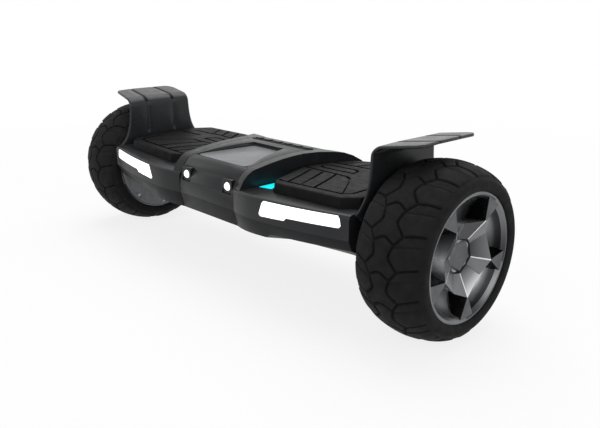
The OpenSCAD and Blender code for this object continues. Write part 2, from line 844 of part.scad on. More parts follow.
cable_d = 9;
module pivot_cable() {
    color("#1a1a1a")
        pivot_rod(cable_d, tube_x0 - 4, tube_x1 + 2);
    color("#1a1a1a")
        for (x = [tube_x0 + 6, tube_x1 - 14])
            pivot_rod(tube_d - 2 * tube_t - 2 * fit, x, x + 8);
}

// Axle clamp under the frame's axle block
clamp_bolt_d = 6;
clamp_h = 12;
clamp_head_h = 4;
clamp_head_d = 10;
clamp_thread = 13;
clamp_edge = 8;
clamp_gap = 0.6;
module clamp_bolt_places() {
    for (x = [clamp_x0 + clamp_edge, clamp_x1 - clamp_edge], s = [-1, 1])
        translate([x, s * (block_w / 2 - clamp_edge), 0]) children();
}
module axle_clamp() {
    difference() {
        translate([clamp_x0, -block_w / 2, axle_z - clamp_h])
            cube([clamp_x1 - clamp_x0, block_w, clamp_h - clamp_gap]);
        translate([clamp_x0 - over, 0, axle_z]) rotate([0, 90, 0])
            cylinder(r = axle_r + fit, h = clamp_x1 - clamp_x0 + 2 * over);
        clamp_bolt_places() translate([0, 0, axle_z - clamp_h - over])
            cylinder(d = clamp_bolt_d + 2 * let_in, h = clamp_h + over);
    }
}
module clamp_bolts() {
    clamp_bolt_places() {
        translate([0, 0, axle_z - clamp_h - clamp_head_h]) cylinder(d = clamp_head_d, h = clamp_head_h);
        translate([0, 0, axle_z - clamp_h - over]) cylinder(d = clamp_bolt_d, h = clamp_h + clamp_thread);
    }
}

// Shells

module pillar_places(list) {
    for (p = list, s = [-1, 1])
        translate([p[0], s * p[1], 0]) children();
}

module pivot_opening() {
    pivot_rod(boss_d + 6, shell_in - over, shell_in + shell_t + over);
}

module pad_pocket() {
    outline = inset(pad_outline(), -pad_side - run);
    sloped() translate([0, 0, pocket_z]) linear_extrude(hump_rise) polygon(outline);
}

module upper_shell() {
    xs = stations(shell_in, shell_end);
    hollow_xs = stations(shell_in + shell_t, shell_end - shell_t);
    difference() {
        union() {
            difference() {
                union() {
                    loft([for (x = xs) deck_ring(x, 0, split_z, deck_z, rim_round)]);
                    shoulder(0, 0);
                }
                loft([for (x = hollow_xs) deck_ring(x, shell_t, split_z - 20, ceiling_z, 1)]);
                shoulder(shell_t, 20);
                pivot_opening();
            }
            for (p = shell_screws)
                upper_pillars(p, split_z + rise(p[0] + pillar_d / 2));
            for (p = frame_screws)
                upper_pillars(p, frame_z + frame_t);
            for (y = fender_screws)
                translate([shell_end - 10, y, fender_screw_z]) rotate([0, 90, 0])
                    cylinder(d = pillar_d, h = 9);
        }
        pad_pocket();
        pillar_places(shell_screws) translate([0, 0, split_z - over])
            cylinder(d = screw_d + 2 * fit, h = screw_grip + 2 * over);
        pillar_places(frame_screws) translate([0, 0, frame_z]) cylinder(d = screw_d + 2 * fit, h = 14);
        for (y = fender_screws)
            translate([shell_end - 12, y, fender_screw_z]) rotate([0, 90, 0])
                cylinder(d = screw_d + 2 * fit, h = 14);
        front_window();
        accent_window();
        for (p = guide_posts)
            sloped() translate([p[0], p[1], 0]) cylinder(d = guide_d + 2 * run, h = deck_z);
    }
}

// A pair of pillars from level z up into the deck's floor
module upper_pillars(p, z) {
    pillar_places([p]) translate([0, 0, z]) cylinder(d = pillar_d, h = ceiling_z + rise(p[0]) + 1 - z);
}

module front_window() {
    intersection() {
        along_y(-body_d, 0) polygon(inset(bar_outline(), -let_in));
        front_band(bar_x - 5, bar_end + 5, over, bar_t + let_in);
    }
}

module accent_window() {
    sloped() translate([0, 0, deck_z - accent_t])
        linear_extrude(2 * accent_t) polygon(accent_outline(-let_in));
}

module lower_shell() {
    xs = belly_stations(shell_in, shell_end);
    hollow_xs = belly_stations(shell_in + shell_t, shell_end - shell_t);
    difference() {
        union() {
            difference() {
                loft([for (x = xs) belly_ring(x, 0, 0)]);
                loft([for (x = hollow_xs) belly_ring(x, shell_t, 20)]);
                pivot_opening();
            }
            intersection() {
                loft([for (x = xs) belly_ring(x, 0, 0)]);
                pillar_places(shell_screws) cylinder(d = pillar_d, h = 2 * axle_z);
            }
        }
        pillar_places(shell_screws) cylinder(d = screw_d + 2 * let_in, h = 2 * axle_z);
        pillar_places(shell_screws) cylinder(d = screw_head_d + 2 * let_in, h = screw_head_z + screw_head_h);
        along_x(shell_end - shell_t - over, shell_end + over) {
            translate([0, axle_z]) circle(axle_r + 3);
            translate([-axle_r - 3, axle_z]) square([axle_d + 6, 40]);
        }
    }
}

// Shell screws from below, frame screws and the fender's screws
module screws() {
    pillar_places(shell_screws) {
        translate([0, 0, screw_head_z]) cylinder(d = screw_head_d, h = screw_head_h);
        translate([0, 0, screw_head_z]) cylinder(d = screw_d, h = split_z + screw_grip - screw_head_z);
    }
    pillar_places(frame_screws) {
        translate([0, 0, frame_z - screw_head_h]) cylinder(d = screw_head_d, h = screw_head_h);
        translate([0, 0, frame_z - screw_head_h]) cylinder(d = screw_d, h = screw_head_h + frame_t + 6);
    }
    for (y = fender_screws)
        translate([shell_end, y, fender_screw_z]) rotate([0, 90, 0]) {
            translate([0, 0, fender_t]) cylinder(d = screw_head_d, h = 2.2);
            translate([0, 0, -7]) cylinder(d = screw_d, h = 7 + fender_t + 1);
        }
}

module right_upper_shell() {
    color("#3a3b3d")
        difference() {
            union() {
                upper_shell();
                intersection() {
                    port_bosses();
                    loft([
                        for (x = stations(shell_in, shell_end))
                            deck_ring(x, 0, split_z, deck_z, rim_round)
                    ]);
                }
            }
            port_cuts();
        }
}

// Guides behind the back wall for the button and the socket
guide_l = 12;
module at_port(x, y) {
    translate([x, y, port_z]) rotate([90, 0, 0]) children();
}
module port_bosses() {
    at_port(button_x, button_y + over) cylinder(d = button_d + 6, h = guide_l + over);
    at_port(socket_x, socket_y + over) cylinder(d = cap_w + 14, h = shell_t + cap_t + 3);
}
module port_cuts() {
    at_port(button_x, button_y + over) cylinder(d = button_d + 2 * let_in, h = guide_l + 3 * over);
    at_port(socket_x, socket_y + over) cylinder(d = socket_d + 2 * fit, h = socket_h + 4);
    translate([socket_x - cap_w / 2 - run, socket_y - cap_t - 2 * run, hinge_z - cap_h - run])
        cube([cap_w + 2 * run, cap_t + 10, cap_h + 2 * run + 1.2]);
}

module power_button() {
    color("#202124")
        at_port(button_x, button_y) {
            cylinder(d = button_d, h = guide_l - button_travel);
            translate([0, 0, guide_l + let_in]) cylinder(d = button_d + 4, h = 2);
            cylinder(d = button_d - 4, h = guide_l + 1);
        }
}

// The socket is a cup with three contacts in a smaller well at its bottom
module charge_socket() {
    front = socket_y - cap_t - 2 * run;
    color("#17181a")
        at_port(socket_x, front) {
            difference() {
                cylinder(d = socket_d, h = socket_h);
                translate([0, 0, -over]) cylinder(d = socket_bore, h = socket_deep + over);
                translate([0, 0, socket_deep - over]) cylinder(d = socket_bore - 3, h = contact_l + over);
            }
            for (k = [0:2])
                rotate(120 * k) translate([contact_r, 0, socket_deep])
                    cylinder(d = contact_d, h = contact_l + over);
        }
}

// The cap swings up about its top edge, to uncover the socket
module charge_cap() {
    color("#17181a")
        translate([socket_x - cap_w / 2, socket_y - cap_t, hinge_z - cap_h]) cube([cap_w, cap_t, cap_h]);
}

// Middle covers

module hump_section(d) {
    polygon(inset(hump_outline(), d));
}

module centre_cover() {
    color("#3a3b3d")
        difference() {
            union() {
                difference() {
                    along_x(-cover_half, cover_half) hump_section(0);
                    along_x(shell_t - cover_half, cover_half - shell_t) hump_section(shell_t);
                    along_x(shell_t - cover_half, cover_half - shell_t)
                        translate([shell_t - seam_d / 2, split_z - over]) square([seam_d - 2 * shell_t, 5]);
                    pivot_rod(boss_d + 6, -seam_x, seam_x);
                }
                intersection() {
                    along_x(-cover_half, cover_half) hump_section(0);
                    union() {
                        panel_shape(shell_t, -panel_t - shell_t, 20);
                        for (s = [-1, 1])
                            translate([s * headlight_x, -seam_d / 2 + 9, headlight_z])
                                cube([bezel_s + 6, 18, bezel_s + 6], center = true);
                    }
                }
                for (s = [-1, 1])
                    translate([s * saddle_x - 2, 0, 0]) saddle();
            }
            panel_shape(let_in, -panel_t, 40);
            indicator_windows(let_in, hump_z - 12, hump_z + over);
            for (s = [-1, 1])
                translate([s * headlight_x, -seam_d / 2 + 9, headlight_z])
                    cube([bezel_s + 2 * let_in, 30, bezel_s + 2 * let_in], center = true);
        }
}

// A rib inside the cover that sits on the frame's boss
module saddle() {
    along_x(0, 4)
        difference() {
            translate([-30, axle_z + 14]) square([60, crown(-30) - axle_z - 14 - 7]);
            translate([0, axle_z]) circle(d = boss_d + 2 * let_in);
        }
}

module centre_lower_cover() {
    ring = [for (v = belly_ring(seam_x, 0, 0)) [v[1], v[2]]];
    hollow = [for (v = belly_ring(seam_x, shell_t, 20)) [v[1], v[2]]];
    color("#323335")
        difference() {
            along_x(-cover_half, cover_half) polygon(ring);
            along_x(shell_t - cover_half, cover_half - shell_t) polygon(hollow);
            pivot_rod(boss_d + 6, -seam_x, seam_x);
        }
}

module top_panel() {
    color("#97999b") panel_shape(0, -panel_t, 0);
}

module headlight_bezels() {
    color("#0c0c0d")
        for (s = [-1, 1])
            translate([s * headlight_x, headlight_y, headlight_z])
                difference() {
                    translate([-bezel_s / 2, 0, -bezel_s / 2]) cube([bezel_s, bezel_l, bezel_s]);
                    rotate([-90, 0, 0]) translate([0, 0, -over])
                        cylinder(d = lens_d + 2 * fit, h = bezel_l - 2 + over);
                }
}

module headlight_lenses() {
    color("#ffffff")
        for (s = [-1, 1])
            translate([s * headlight_x, headlight_y + 1, headlight_z])
                rotate([90, 0, 0])
                    rotate_extrude()
                        polygon(concat(
                            [[0, 3 - bezel_l], [lens_d / 2, 3 - bezel_l]],
                            arc([0, 0], lens_d / 2, lens_bulge, 0, 90, 8)
                        ));
}

module indicator_lights() {
    color("#15171a")
        intersection() {
            indicator_windows(0, hump_z - 6, hump_z);
            along_x(-cover_half, cover_half) polygon(inset(hump_outline(), 0.4));
        }
}

// Deck pieces

module pad() {
    outer = pad_outline();
    edge = 2.5;
    sides = [[pad_under, -pad_side], [deck_z, -pad_side]];
    top = [[pad_z - edge, -edge * 0.4], [pad_z, edge * 0.6]];
    inner = [[pad_under - over, pad_t - pad_side], [deck_z, pad_t - pad_side], [pad_z - pad_t, pad_t]];
    sloped()
        difference() {
            loft(concat(
                [for (r = sides) [for (p = inset(outer, r[1])) [p[0], p[1], r[0]]]],
                [for (r = top) [for (p = inset(outer, r[1])) [p[0], p[1], r[0] + pad_up(p[1])]]]
            ));
            loft([for (r = inner) [for (p = inset(outer, r[1])) [p[0], p[1], r[0]]]]);
            translate([0, -pad_front, pad_z]) rotate([pad_tilt, 0, 0])
                translate([0, pad_front, -pad_z]) pad_grooves();
        }
}
// How far the tilt of the pad's top lifts it at y
pad_tilt = atan(pad_lift / (pad_front + pad_back));
function pad_up(y) = (y + pad_front) * tan(pad_tilt);

// A groove between two points on the pad's top
module groove(a, b) {
    d = b - a;
    translate([a[0], a[1], pad_z - groove_h])
        rotate(atan2(d[1], d[0]))
            translate([-groove_w / 2, -groove_w / 2, 0]) cube([norm(d) + groove_w, groove_w, 2 * groove_h]);
}

// Slanted grooves at the front and back, with two long loops across the middle
groove_pitch = 25;
groove_slant = 28;
module pad_grooves() {
    front_y = 12 - pad_front;
    mid_y = 8;
    for (i = [0:3]) {
        x = pad_nose_x + 11 + groove_pitch * i;
        groove([x, front_y], [x - groove_slant, mid_y - 6]);
        groove([x, front_y], [x + groove_pitch - 5, front_y]);
    }
    groove([wall_x + 16, mid_y], [pad_end - 12, mid_y]);
    for (y = [mid_y + 16, mid_y + 28])
        groove([pad_nose_x - 12, y], [pad_end - 30, y]);
    for (i = [0:2]) {
        x = pad_nose_x + 30 + groove_pitch * i;
        groove([x, mid_y + 40], [x + groove_slant * 0.6, pad_back - 14]);
    }
}

// A stiff plate under the rubber, with posts that run in the deck
module pedal_plate() {
    outer = pad_outline();
    plate_t = 4;
    top = pad_z - pad_t;
    sloped() {
        translate([0, 0, top - plate_t]) linear_extrude(plate_t) polygon(inset(outer, pad_t + 1));
        for (p = guide_posts)
            translate([p[0], p[1], ceiling_z - 3]) cylinder(d = guide_d, h = top - ceiling_z + 2);
    }
}

// Rubber rings round the posts, which stop the pedal
module pad_stops() {
    top = pad_z - pad_t - 4;
    sloped()
        for (p = guide_posts)
            translate([p[0], p[1], pocket_z])
                difference() {
                    cylinder(d = guide_d + 7, h = top - pocket_z - pad_travel - 0.3);
                    translate([0, 0, -over]) cylinder(d = guide_d + 2 * run, h = pad_z);
                }
}

// A small board on four posts on the frame, with two switches that the pad works
sensor_l = 64;
sensor_w = 44;
sensor_post_d = 5;
sensor_post_h = 1.5;
sensor_in = 88;
sensor_x = frame_in + sensor_in;
switch_l = 10;
switch_w = 8;
switch_h = 3;
switch_gap = 40;
module sensor_board() {
    z = frame_z + frame_t;
    for (i = [-1, 1], j = [-1, 1])
        translate([
            sensor_x + i * (sensor_l / 2 - sensor_post_d - over),
            j * (sensor_w / 2 - sensor_post_d - over),
            z
        ])
            cylinder(d = sensor_post_d, h = sensor_post_h);
    translate([sensor_x - sensor_l / 2, -sensor_w / 2, z + sensor_post_h])
        cube([sensor_l, sensor_w, board_t]);
    for (i = [-1, 1])
        translate([
            sensor_x + i * switch_gap / 2 - switch_l / 2,
            -switch_w / 2,
            z + sensor_post_h + board_t - fit
        ])
            cube([switch_l, switch_w, switch_h + fit]);
}

// The fender is a wall that bends out into a lip over the tyre
fender_low = axle_z + 20;
fender_foot = axle_z + 46;
flare_fall = 19;
lip_corner = 8;
crease_y = 0.45;
crease_low = pad_z + 8;
crease_end = 6;
module fender_profile(t, z0) {
    c = [shell_end + fender_t + bend_r, axle_z + bend_rise];
    a1 = 90 + lip_slope;
    lip_end = shell_end + fender_t + lip_reach;
    function lip_point(r) =
        let (p = c + r * [cos(a1), sin(a1)])
        [lip_end, p[1] + (lip_end - p[0]) * tan(lip_slope)];
    polygon(concat(
        [[shell_end + fender_t, z0]],
        arc(c, bend_r, bend_r, 180, a1, 8),
        [lip_point(bend_r), lip_point(bend_r + t)],
        arc(c, bend_r + t, bend_r + t, a1, 180, 8),
        [[shell_end + fender_t - t, z0]]
    ));
}
function fender_half(z) = fender_w / 2 + fender_flare * exp((fender_foot - z) / flare_fall);
module fender() {
    top = axle_z + bend_rise + bend_r + fender_t + lip_reach;
    steps = 8;
    zs = [for (i = [0:steps]) fender_foot + (axle_z + bend_rise - fender_foot) * pow(i / steps, 1.5)];
    side = concat(
        [[fender_w / 2 - 4, fender_low]],
        [for (z = zs) [fender_half(z), z]],
        [[fender_w / 2, top]]
    );
    lip_end = shell_end + fender_t + lip_reach;
    half = fender_w / 2;
    difference() {
        intersection() {
            along_y(-end_d, end_d) fender_profile(fender_t, fender_low);
            along_x(shell_end, lip_end + over)
                polygon(concat(side, [for (i = [len(side) - 1:-1:0]) [-side[i][0], side[i][1]]]));
            linear_extrude(top) fender_plan(lip_end, half);
        }
        for (s = [-1, 1])
            fender_crease(s * half * crease_y, lip_end - crease_end);
        for (y = fender_screws)
            translate([shell_end - over, y, fender_screw_z]) rotate([0, 90, 0])
                cylinder(d = screw_d + 2 * let_in, h = fender_t + 2 * over);
    }
}
// A shallow groove that runs up the wall and out along the lip
module fender_crease(y, end_x) {
    intersection() {
        along_y(y - crease_w / 2, y + crease_w / 2)
            difference() {
                fender_profile(fender_t + over, crease_low);
                fender_profile(fender_t - crease_h, fender_low);
            }
        translate([shell_end - 2 * over, y - crease_w, 0])
            cube([end_x - shell_end + 2 * over, 2 * crease_w, 3 * axle_z]);
    }
}
// Plan of the fender: full width at the wall, with round outer corners on the lip
module fender_plan(lip_end, half) {
    bend_end = shell_end + fender_t + bend_r;
    r = lip_corner;
    corner = [lip_end - r, half - 5 - r];
    back = arc(corner, r, r, 0, 90, 6);
    front = arc([corner[0], -corner[1]], r, r, 270, 360, 6);
    polygon(concat(
        [[shell_end - 1, -end_d], [bend_end, -end_d], [bend_end, -half]], front, back,
        [[bend_end, half], [bend_end, end_d], [shell_end - 1, end_d]]
    ));
}

module light_bar() {
    intersection() {
        along_y(-body_d, 0) polygon(bar_outline());
        front_band(bar_x - 5, bar_end + 5, 0, bar_t);
    }
}

module accent_light() {
    sloped() translate([0, 0, deck_z - accent_t]) linear_extrude(accent_t + 0.6) polygon(accent_outline(0));
}

// Electrics

battery_l = 116;
battery_w = 2 * frame_screw_y - screw_head_d - 3;
battery_h = 36;
module battery_pack() {
    x1 = -frame_in - collar_l - 4;
    color("#2f5fa8")
        translate([x1 - battery_l, -battery_w / 2, frame_z - let_in - battery_h])
            cube([battery_l, battery_w, battery_h]);
}

// The board hangs under the right frame on four posts, with its heat sink and capacitors
board_t = 1.6;
board_l = 96;
board_w = 76;
board_post_d = 6;
board_post_h = 12;
board_x = frame_in + collar_l + 14;
sink_size = [56, 26, 14];
sink_place = [8, 6];
cell_d = 12;
cell_h = 16;
cell_x = 78;
cell_y = [42, 58];
relay_size = [36, 20, 8];
relay_place = [20, 46];
module main_board() {
    z = frame_z - board_post_h;
    low = z - board_t + fit;
    color("#1f5a34")
        translate([board_x, -board_w / 2, 0]) {
            for (x = [board_post_d, board_l - board_post_d])
                for (y = [board_post_d + over, board_w - board_post_d - over])
                    translate([x, y, z - fit]) cylinder(d = board_post_d, h = board_post_h + fit);
            translate([0, 0, z - board_t]) cube([board_l, board_w, board_t]);
            translate([sink_place[0], sink_place[1], low - sink_size[2]]) cube(sink_size);
            for (y = cell_y)
                translate([cell_x, y, low - cell_h]) cylinder(d = cell_d, h = cell_h);
            translate([relay_place[0], relay_place[1], low - relay_size[2]]) cube(relay_size);
        }
}

// One module for each node

module left() {
    mirror([1, 0, 0]) children();
}
module right_lower_shell() { color("#323335") lower_shell(); }
module left_lower_shell() { color("#323335") left() lower_shell(); }
module left_upper_shell() { color("#3a3b3d") left() upper_shell(); }
module right_pad() { color("#1b1b1c") pad(); }
module left_pad() { color("#1b1b1c") left() pad(); }
module right_pedal_plate() { color("#44474a") pedal_plate(); }
module left_pedal_plate() { color("#44474a") left() pedal_plate(); }
module right_pad_stops() { color("#2a2a2b") pad_stops(); }
module left_pad_stops() { color("#2a2a2b") left() pad_stops(); }
module right_sensor_board() { color("#1f5a34") sensor_board(); }
module left_sensor_board() { color("#1f5a34") left() sensor_board(); }
module right_fender() { color("#4a4b4d") fender(); }
module left_fender() { color("#4a4b4d") left() fender(); }
module right_light_bar() { color("#ffffff") light_bar(); }
module left_light_bar() { color("#ffffff") left() light_bar(); }
module right_accent_light() { color("#20d0f0") accent_light(); }
module left_accent_light() { color("#20d0f0") left() accent_light(); }
module right_screws() { color("#6d7074") screws(); }
module left_screws() { color("#6d7074") left() screws(); }
module right_axle_clamp() { color("#9a9da0") axle_clamp(); }
module left_axle_clamp() { color("#9a9da0") left() axle_clamp(); }
module right_clamp_bolts() { color("#6d7074") clamp_bolts(); }
module left_clamp_bolts() { color("#6d7074") left() clamp_bolts(); }
module right_axle() { color("#b8bcc0") axle(); }
module left_axle() { color("#b8bcc0") left() axle(); }
module right_stator() { color("#b06a35") stator(); }
module left_stator() { color("#b06a35") left() stator(); }
module right_tyre() { color("#202021") tyre(); }
module left_tyre() { color("#202021") left() tyre(); }
module right_rim() { color("#7f8285") rim(); }
module left_rim() { color("#7f8285") left() rim(); }
module right_hub_cap() { color("#9b9ea1") hub_cap(); }
module left_hub_cap() { color("#9b9ea1") left() hub_cap(); }
module right_motor_cover() { color("#77797b") motor_cover(); }
module left_motor_cover() { color("#77797b") left() motor_cover(); }
module right_cover_screws() { color("#55585b") cover_screws(); }
module left_cover_screws() { color("#55585b") left() cover_screws(); }
module right_magnet_ring() { color("#c9cbcd") magnet_ring(); }
module left_magnet_ring() { color("#c9cbcd") left() magnet_ring(); }
module right_bearings() { color("#c2c5c8") bearings(); }
module left_bearings() { color("#c2c5c8") left() bearings(); }

centre_cover();
centre_lower_cover();
top_panel();
headlight_bezels();
headlight_lenses();
indicator_lights();
pivot_tube();
pivot_bushes();
pivot_clip();
stop_pin();
pivot_cable();
battery_pack();
main_board();
power_button();
charge_socket();
charge_cap();
right_frame();
left_frame();
right_upper_shell();
left_upper_shell();
right_lower_shell();
left_lower_shell();
right_pad();
left_pad();
right_pedal_plate();
left_pedal_plate();
right_pad_stops();
left_pad_stops();
right_sensor_board();
left_sensor_board();
right_fender();
left_fender();
right_light_bar();
left_light_bar();
right_accent_light();
left_accent_light();
right_screws();
left_screws();
right_axle_clamp();
left_axle_clamp();
right_clamp_bolts();
left_clamp_bolts();
right_axle();
left_axle();
right_stator();
left_stator();
right_tyre();
left_tyre();
right_rim();
left_rim();
right_hub_cap();
left_hub_cap();
right_motor_cover();
left_motor_cover();
right_cover_screws();
left_cover_screws();
right_magnet_ring();
left_magnet_ring();
right_bearings();
left_bearings();
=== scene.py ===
"""Looks of a self balancing hoverboard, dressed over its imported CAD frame.

Sizes are in millimetres and match the CAD: X runs along the board, -Y is the front, Z is up from the floor.
"""

from __future__ import annotations

import logging
import math
from dataclasses import dataclass
from enum import Enum

import bmesh
import bpy
import numpy as np
from bpy.types import Material, Node, NodeSocket, NodeTree, Object
from mathutils import Matrix, Vector

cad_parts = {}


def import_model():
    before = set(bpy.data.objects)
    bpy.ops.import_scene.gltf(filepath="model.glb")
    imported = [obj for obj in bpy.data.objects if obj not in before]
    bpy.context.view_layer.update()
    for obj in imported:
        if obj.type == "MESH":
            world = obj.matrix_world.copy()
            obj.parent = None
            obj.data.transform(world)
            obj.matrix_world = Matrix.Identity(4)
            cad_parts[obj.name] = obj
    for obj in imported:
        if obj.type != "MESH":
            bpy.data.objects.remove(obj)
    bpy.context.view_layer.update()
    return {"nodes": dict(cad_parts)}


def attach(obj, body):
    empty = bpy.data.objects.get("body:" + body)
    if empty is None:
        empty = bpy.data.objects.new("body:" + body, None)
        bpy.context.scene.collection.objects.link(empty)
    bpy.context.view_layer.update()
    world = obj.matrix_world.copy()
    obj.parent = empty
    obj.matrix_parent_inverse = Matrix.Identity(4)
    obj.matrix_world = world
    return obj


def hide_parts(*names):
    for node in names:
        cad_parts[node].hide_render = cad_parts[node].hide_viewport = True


LOG = logging.getLogger("hoverboard")
MM = 0.001
# Points of a CAD mesh that lie this near, in millimetres, are one point.
WELD_REACH = 0.002
# Noise seldom leaves these values, so an uneven colour spans them.
NOISE_SPAN = (0.3, 0.7)

Pair = tuple[float, float]
Triple = tuple[float, float, float]
Colour = tuple[float, float, float, float]
Face = tuple[int, ...]
Shell = tuple[np.ndarray, list[Face]]
Palette = dict[str, Material]


class Side(Enum):
    """The two halves of the board; the value is the sign of X."""

    RIGHT = 1
    LEFT = -1

    def named(self, part: str) -> str:
        """The name of this side's piece, CAD node or body."""
        return f"{self.name.lower()}_{part}"


# Small tools


def to_linear(code: str, share: float = 1.0) -> Colour:
    """An sRGB hex colour, such as "#2b2c2e", as linear light, multiplied by a share to make it lighter or darker."""
    parts = [int(code[i : i + 2], 16) / 255 for i in (1, 3, 5)]
    return *[share * (c / 12.92 if c <= 0.04045 else ((c + 0.055) / 1.055) ** 2.4) for c in parts], 1.0


def grey(level: float) -> Colour:
    """A neutral linear colour of this level."""
    return level, level, level, 1.0


def per_mm(size: float) -> float:
    """Texture scale for a feature of this size in millimetres."""
    return 1.0 / (size * MM)


def add_node(tree: NodeTree, kind: str, settings: dict[str, object], links: dict[str | int, NodeSocket]) -> Node:
    """Adds a node, sets its options and sockets, and links its inputs.

    Args:
        tree: The node tree.
        kind: The node's type.
        settings: Options by name; a name that is no option is an input socket's.
        links: Outputs by the name or number of the input that they feed.

    Returns:
        The new node.
    """
    node = tree.nodes.new(kind)
    for name, value in settings.items():
        if name in node.bl_rna.properties:
            setattr(node, name, value)
        else:
            node.inputs[name].default_value = value
    for name, source in links.items():
        tree.links.new(source, node.inputs[name])
    return node


def put(name: str, data: bpy.types.ID) -> Object:
    """Makes an object of a mesh, camera or light and puts it in the scene.

    Args:
        name: The object's name.
        data: What it shows.

    Returns:
        The object.
    """
    made = bpy.data.objects.new(name, data)
    bpy.context.scene.collection.objects.link(made)
    return made


def smoothstep(low: float, high: float, value: np.ndarray) -> np.ndarray:
    """A soft step from 0 at low to 1 at high, at each value."""
    t = np.clip((value - low) / (high - low), 0.0, 1.0)
    return t * t * (3.0 - 2.0 * t)


def run_along(line: np.ndarray) -> np.ndarray:
    """Distance along a line of points, at each of them."""
    return np.concatenate([[0], np.cumsum(np.linalg.norm(np.diff(line, axis=0), axis=1))])


def fillet(corners: list[Pair], radius: float, steps: int) -> np.ndarray:
    """Rounds every corner of an outline.

    Args:
        corners: The outline's corners in order.
        radius: Radius of each corner, cut down where the sides are short.
        steps: Pieces in each rounded corner.

    Returns:
        The rounded outline, with the same number of points at each corner.
    """
    rounded = []
    pts = np.array(corners, float)
    t = np.arange(steps + 1)[:, None] / steps
    for i, here in enumerate(pts):
        u, v = pts[i - 1] - here, pts[(i + 1) % len(pts)] - here
        reach_u, reach_v = np.linalg.norm(u), np.linalg.norm(v)
        u, v = u / reach_u, v / reach_v
        half = math.acos(max(-1.0, min(1.0, float(u @ v)))) / 2
        cut = min(radius / math.tan(half), 0.45 * reach_u, 0.45 * reach_v)
        rounded.append((1 - t) ** 2 * (here + u * cut) + 2 * t * (1 - t) * here + t * t * (here + v * cut))
    return np.concatenate(rounded)


def inset(corners: list[Pair], amount: float) -> list[Pair]:
    """Moves a counterclockwise outline inwards.

    Args:
        corners: The outline's corners in order.
        amount: How far each side moves in.

    Returns:
        The corners of the moved outline.
    """
    moved = []
    for i, corner in enumerate(corners):
        here = Vector(corner)
        u = (here - Vector(corners[i - 1])).normalized()
        v = (Vector(corners[(i + 1) % len(corners)]) - here).normalized()
        a, b = Vector((-u.y, u.x)), Vector((-v.y, v.x))
        moved.append(tuple(here + (a + b) * amount / (1 + a.dot(b))))
    return moved


def skin(rows: int, columns: int, close_rows: bool, close_columns: bool) -> list[Face]:
    """Faces over a grid of points that is stored row by row.

    Args:
        rows: Number of rows.
        columns: Points in each row.
        close_rows: Whether the last row joins the first.
        close_columns: Whether each row is a closed ring.

    Returns:
        Four-sided faces.
    """
    faces = []
    for j in range(rows if close_rows else rows - 1):
        here, there = j * columns, (j + 1) % rows * columns
        for i in range(columns if close_columns else columns - 1):
            k = (i + 1) % columns
            faces.append((here + i, here + k, there + k, there + i))
    return faces


def stacked(rings: list[np.ndarray]) -> Shell:
    """A shell over closed rings of as many points each, in order, capped at both ends."""
    order = np.arange(len(rings) * len(rings[0])).reshape(len(rings), -1).tolist()
    return np.concatenate(rings), [*skin(*np.shape(order), False, True), tuple(order[0]), tuple(order[-1])]


def joined(shells: list[Shell]) -> Shell:
    """Puts several shells into one list of points and one of faces.

    Args:
        shells: Each shell's points and faces.

    Returns:
        All their points and faces.
    """
    faces, first = [], 0
    for points, skins in shells:
        faces += [tuple(first + i for i in face) for face in skins]
        first += len(points)
    return np.concatenate([points for points, _ in shells]), faces


def about_axle(turn: np.ndarray, radius: np.ndarray, out: np.ndarray) -> np.ndarray:
    """Points as (out, y, z) at an angle in radians and a radius about the axle, and a distance out along it."""
    grids = np.broadcast_arrays(out, radius * np.cos(turn), radius * np.sin(turn))
    return np.stack(grids, -1).reshape(-1, 3)


def revolve(profile: list[Pair], steps: int) -> Shell:
    """Turns a closed profile, as radius and distance out, about the wheel's axle in so many steps."""
    turn = np.linspace(0, 2 * math.pi, steps, endpoint=False)[:, None]
    return about_axle(turn, *np.array(profile, float).T), skin(steps, len(profile), True, True)


def soften(piece: Object, bevel: float, crease: float, weld: bool = False) -> None:
    """Rounds a piece's sharp edges and smooths its faces, with modifiers alone.

    Args:
        piece: The object.
        bevel: Width of the rounded edges in millimetres, or 0 for none.
        crease: Angle in degrees over which an edge is sharp.
        weld: Whether points that lie together are joined first, as a CAD mesh needs.
    """
    if weld:
        piece.modifiers.new("weld", "WELD").merge_threshold = WELD_REACH * MM
    if bevel > 0:
        rounding = piece.modifiers.new("edges", "BEVEL")
        rounding.width, rounding.segments = bevel * MM, 2
        rounding.limit_method, rounding.angle_limit = "ANGLE", math.radians(crease)
        rounding.use_clamp_overlap = True
    name = f"soft_normals_{crease:g}"
    group = bpy.data.node_groups.get(name)
    if group is None:
        group = bpy.data.node_groups.new(name, "GeometryNodeTree")
        for way in ("INPUT", "OUTPUT"):
            group.interface.new_socket("Geometry", in_out=way, socket_type="NodeSocketGeometry")
        source = add_node(group, "NodeGroupInput", {}, {})
        angle = add_node(group, "GeometryNodeInputMeshEdgeAngle", {}, {})
        test = {"data_type": "FLOAT", "operation": "GREATER_THAN", "B": math.radians(crease)}
        sharp = add_node(group, "FunctionNodeCompare", test, {"A": angle.outputs["Unsigned Angle"]})
        normals = add_node(
            group,
            "GeometryNodeSetMeshNormal",
            {"mode": "SHARPNESS", "Remove Custom": True, "Face Sharpness": False},
            {"Mesh": source.outputs[0], "Edge Sharpness": sharp.outputs[0]},
        )
        add_node(group, "NodeGroupOutput", {}, {0: normals.outputs[0]})
    piece.modifiers.new("normals", "NODES").node_group = group


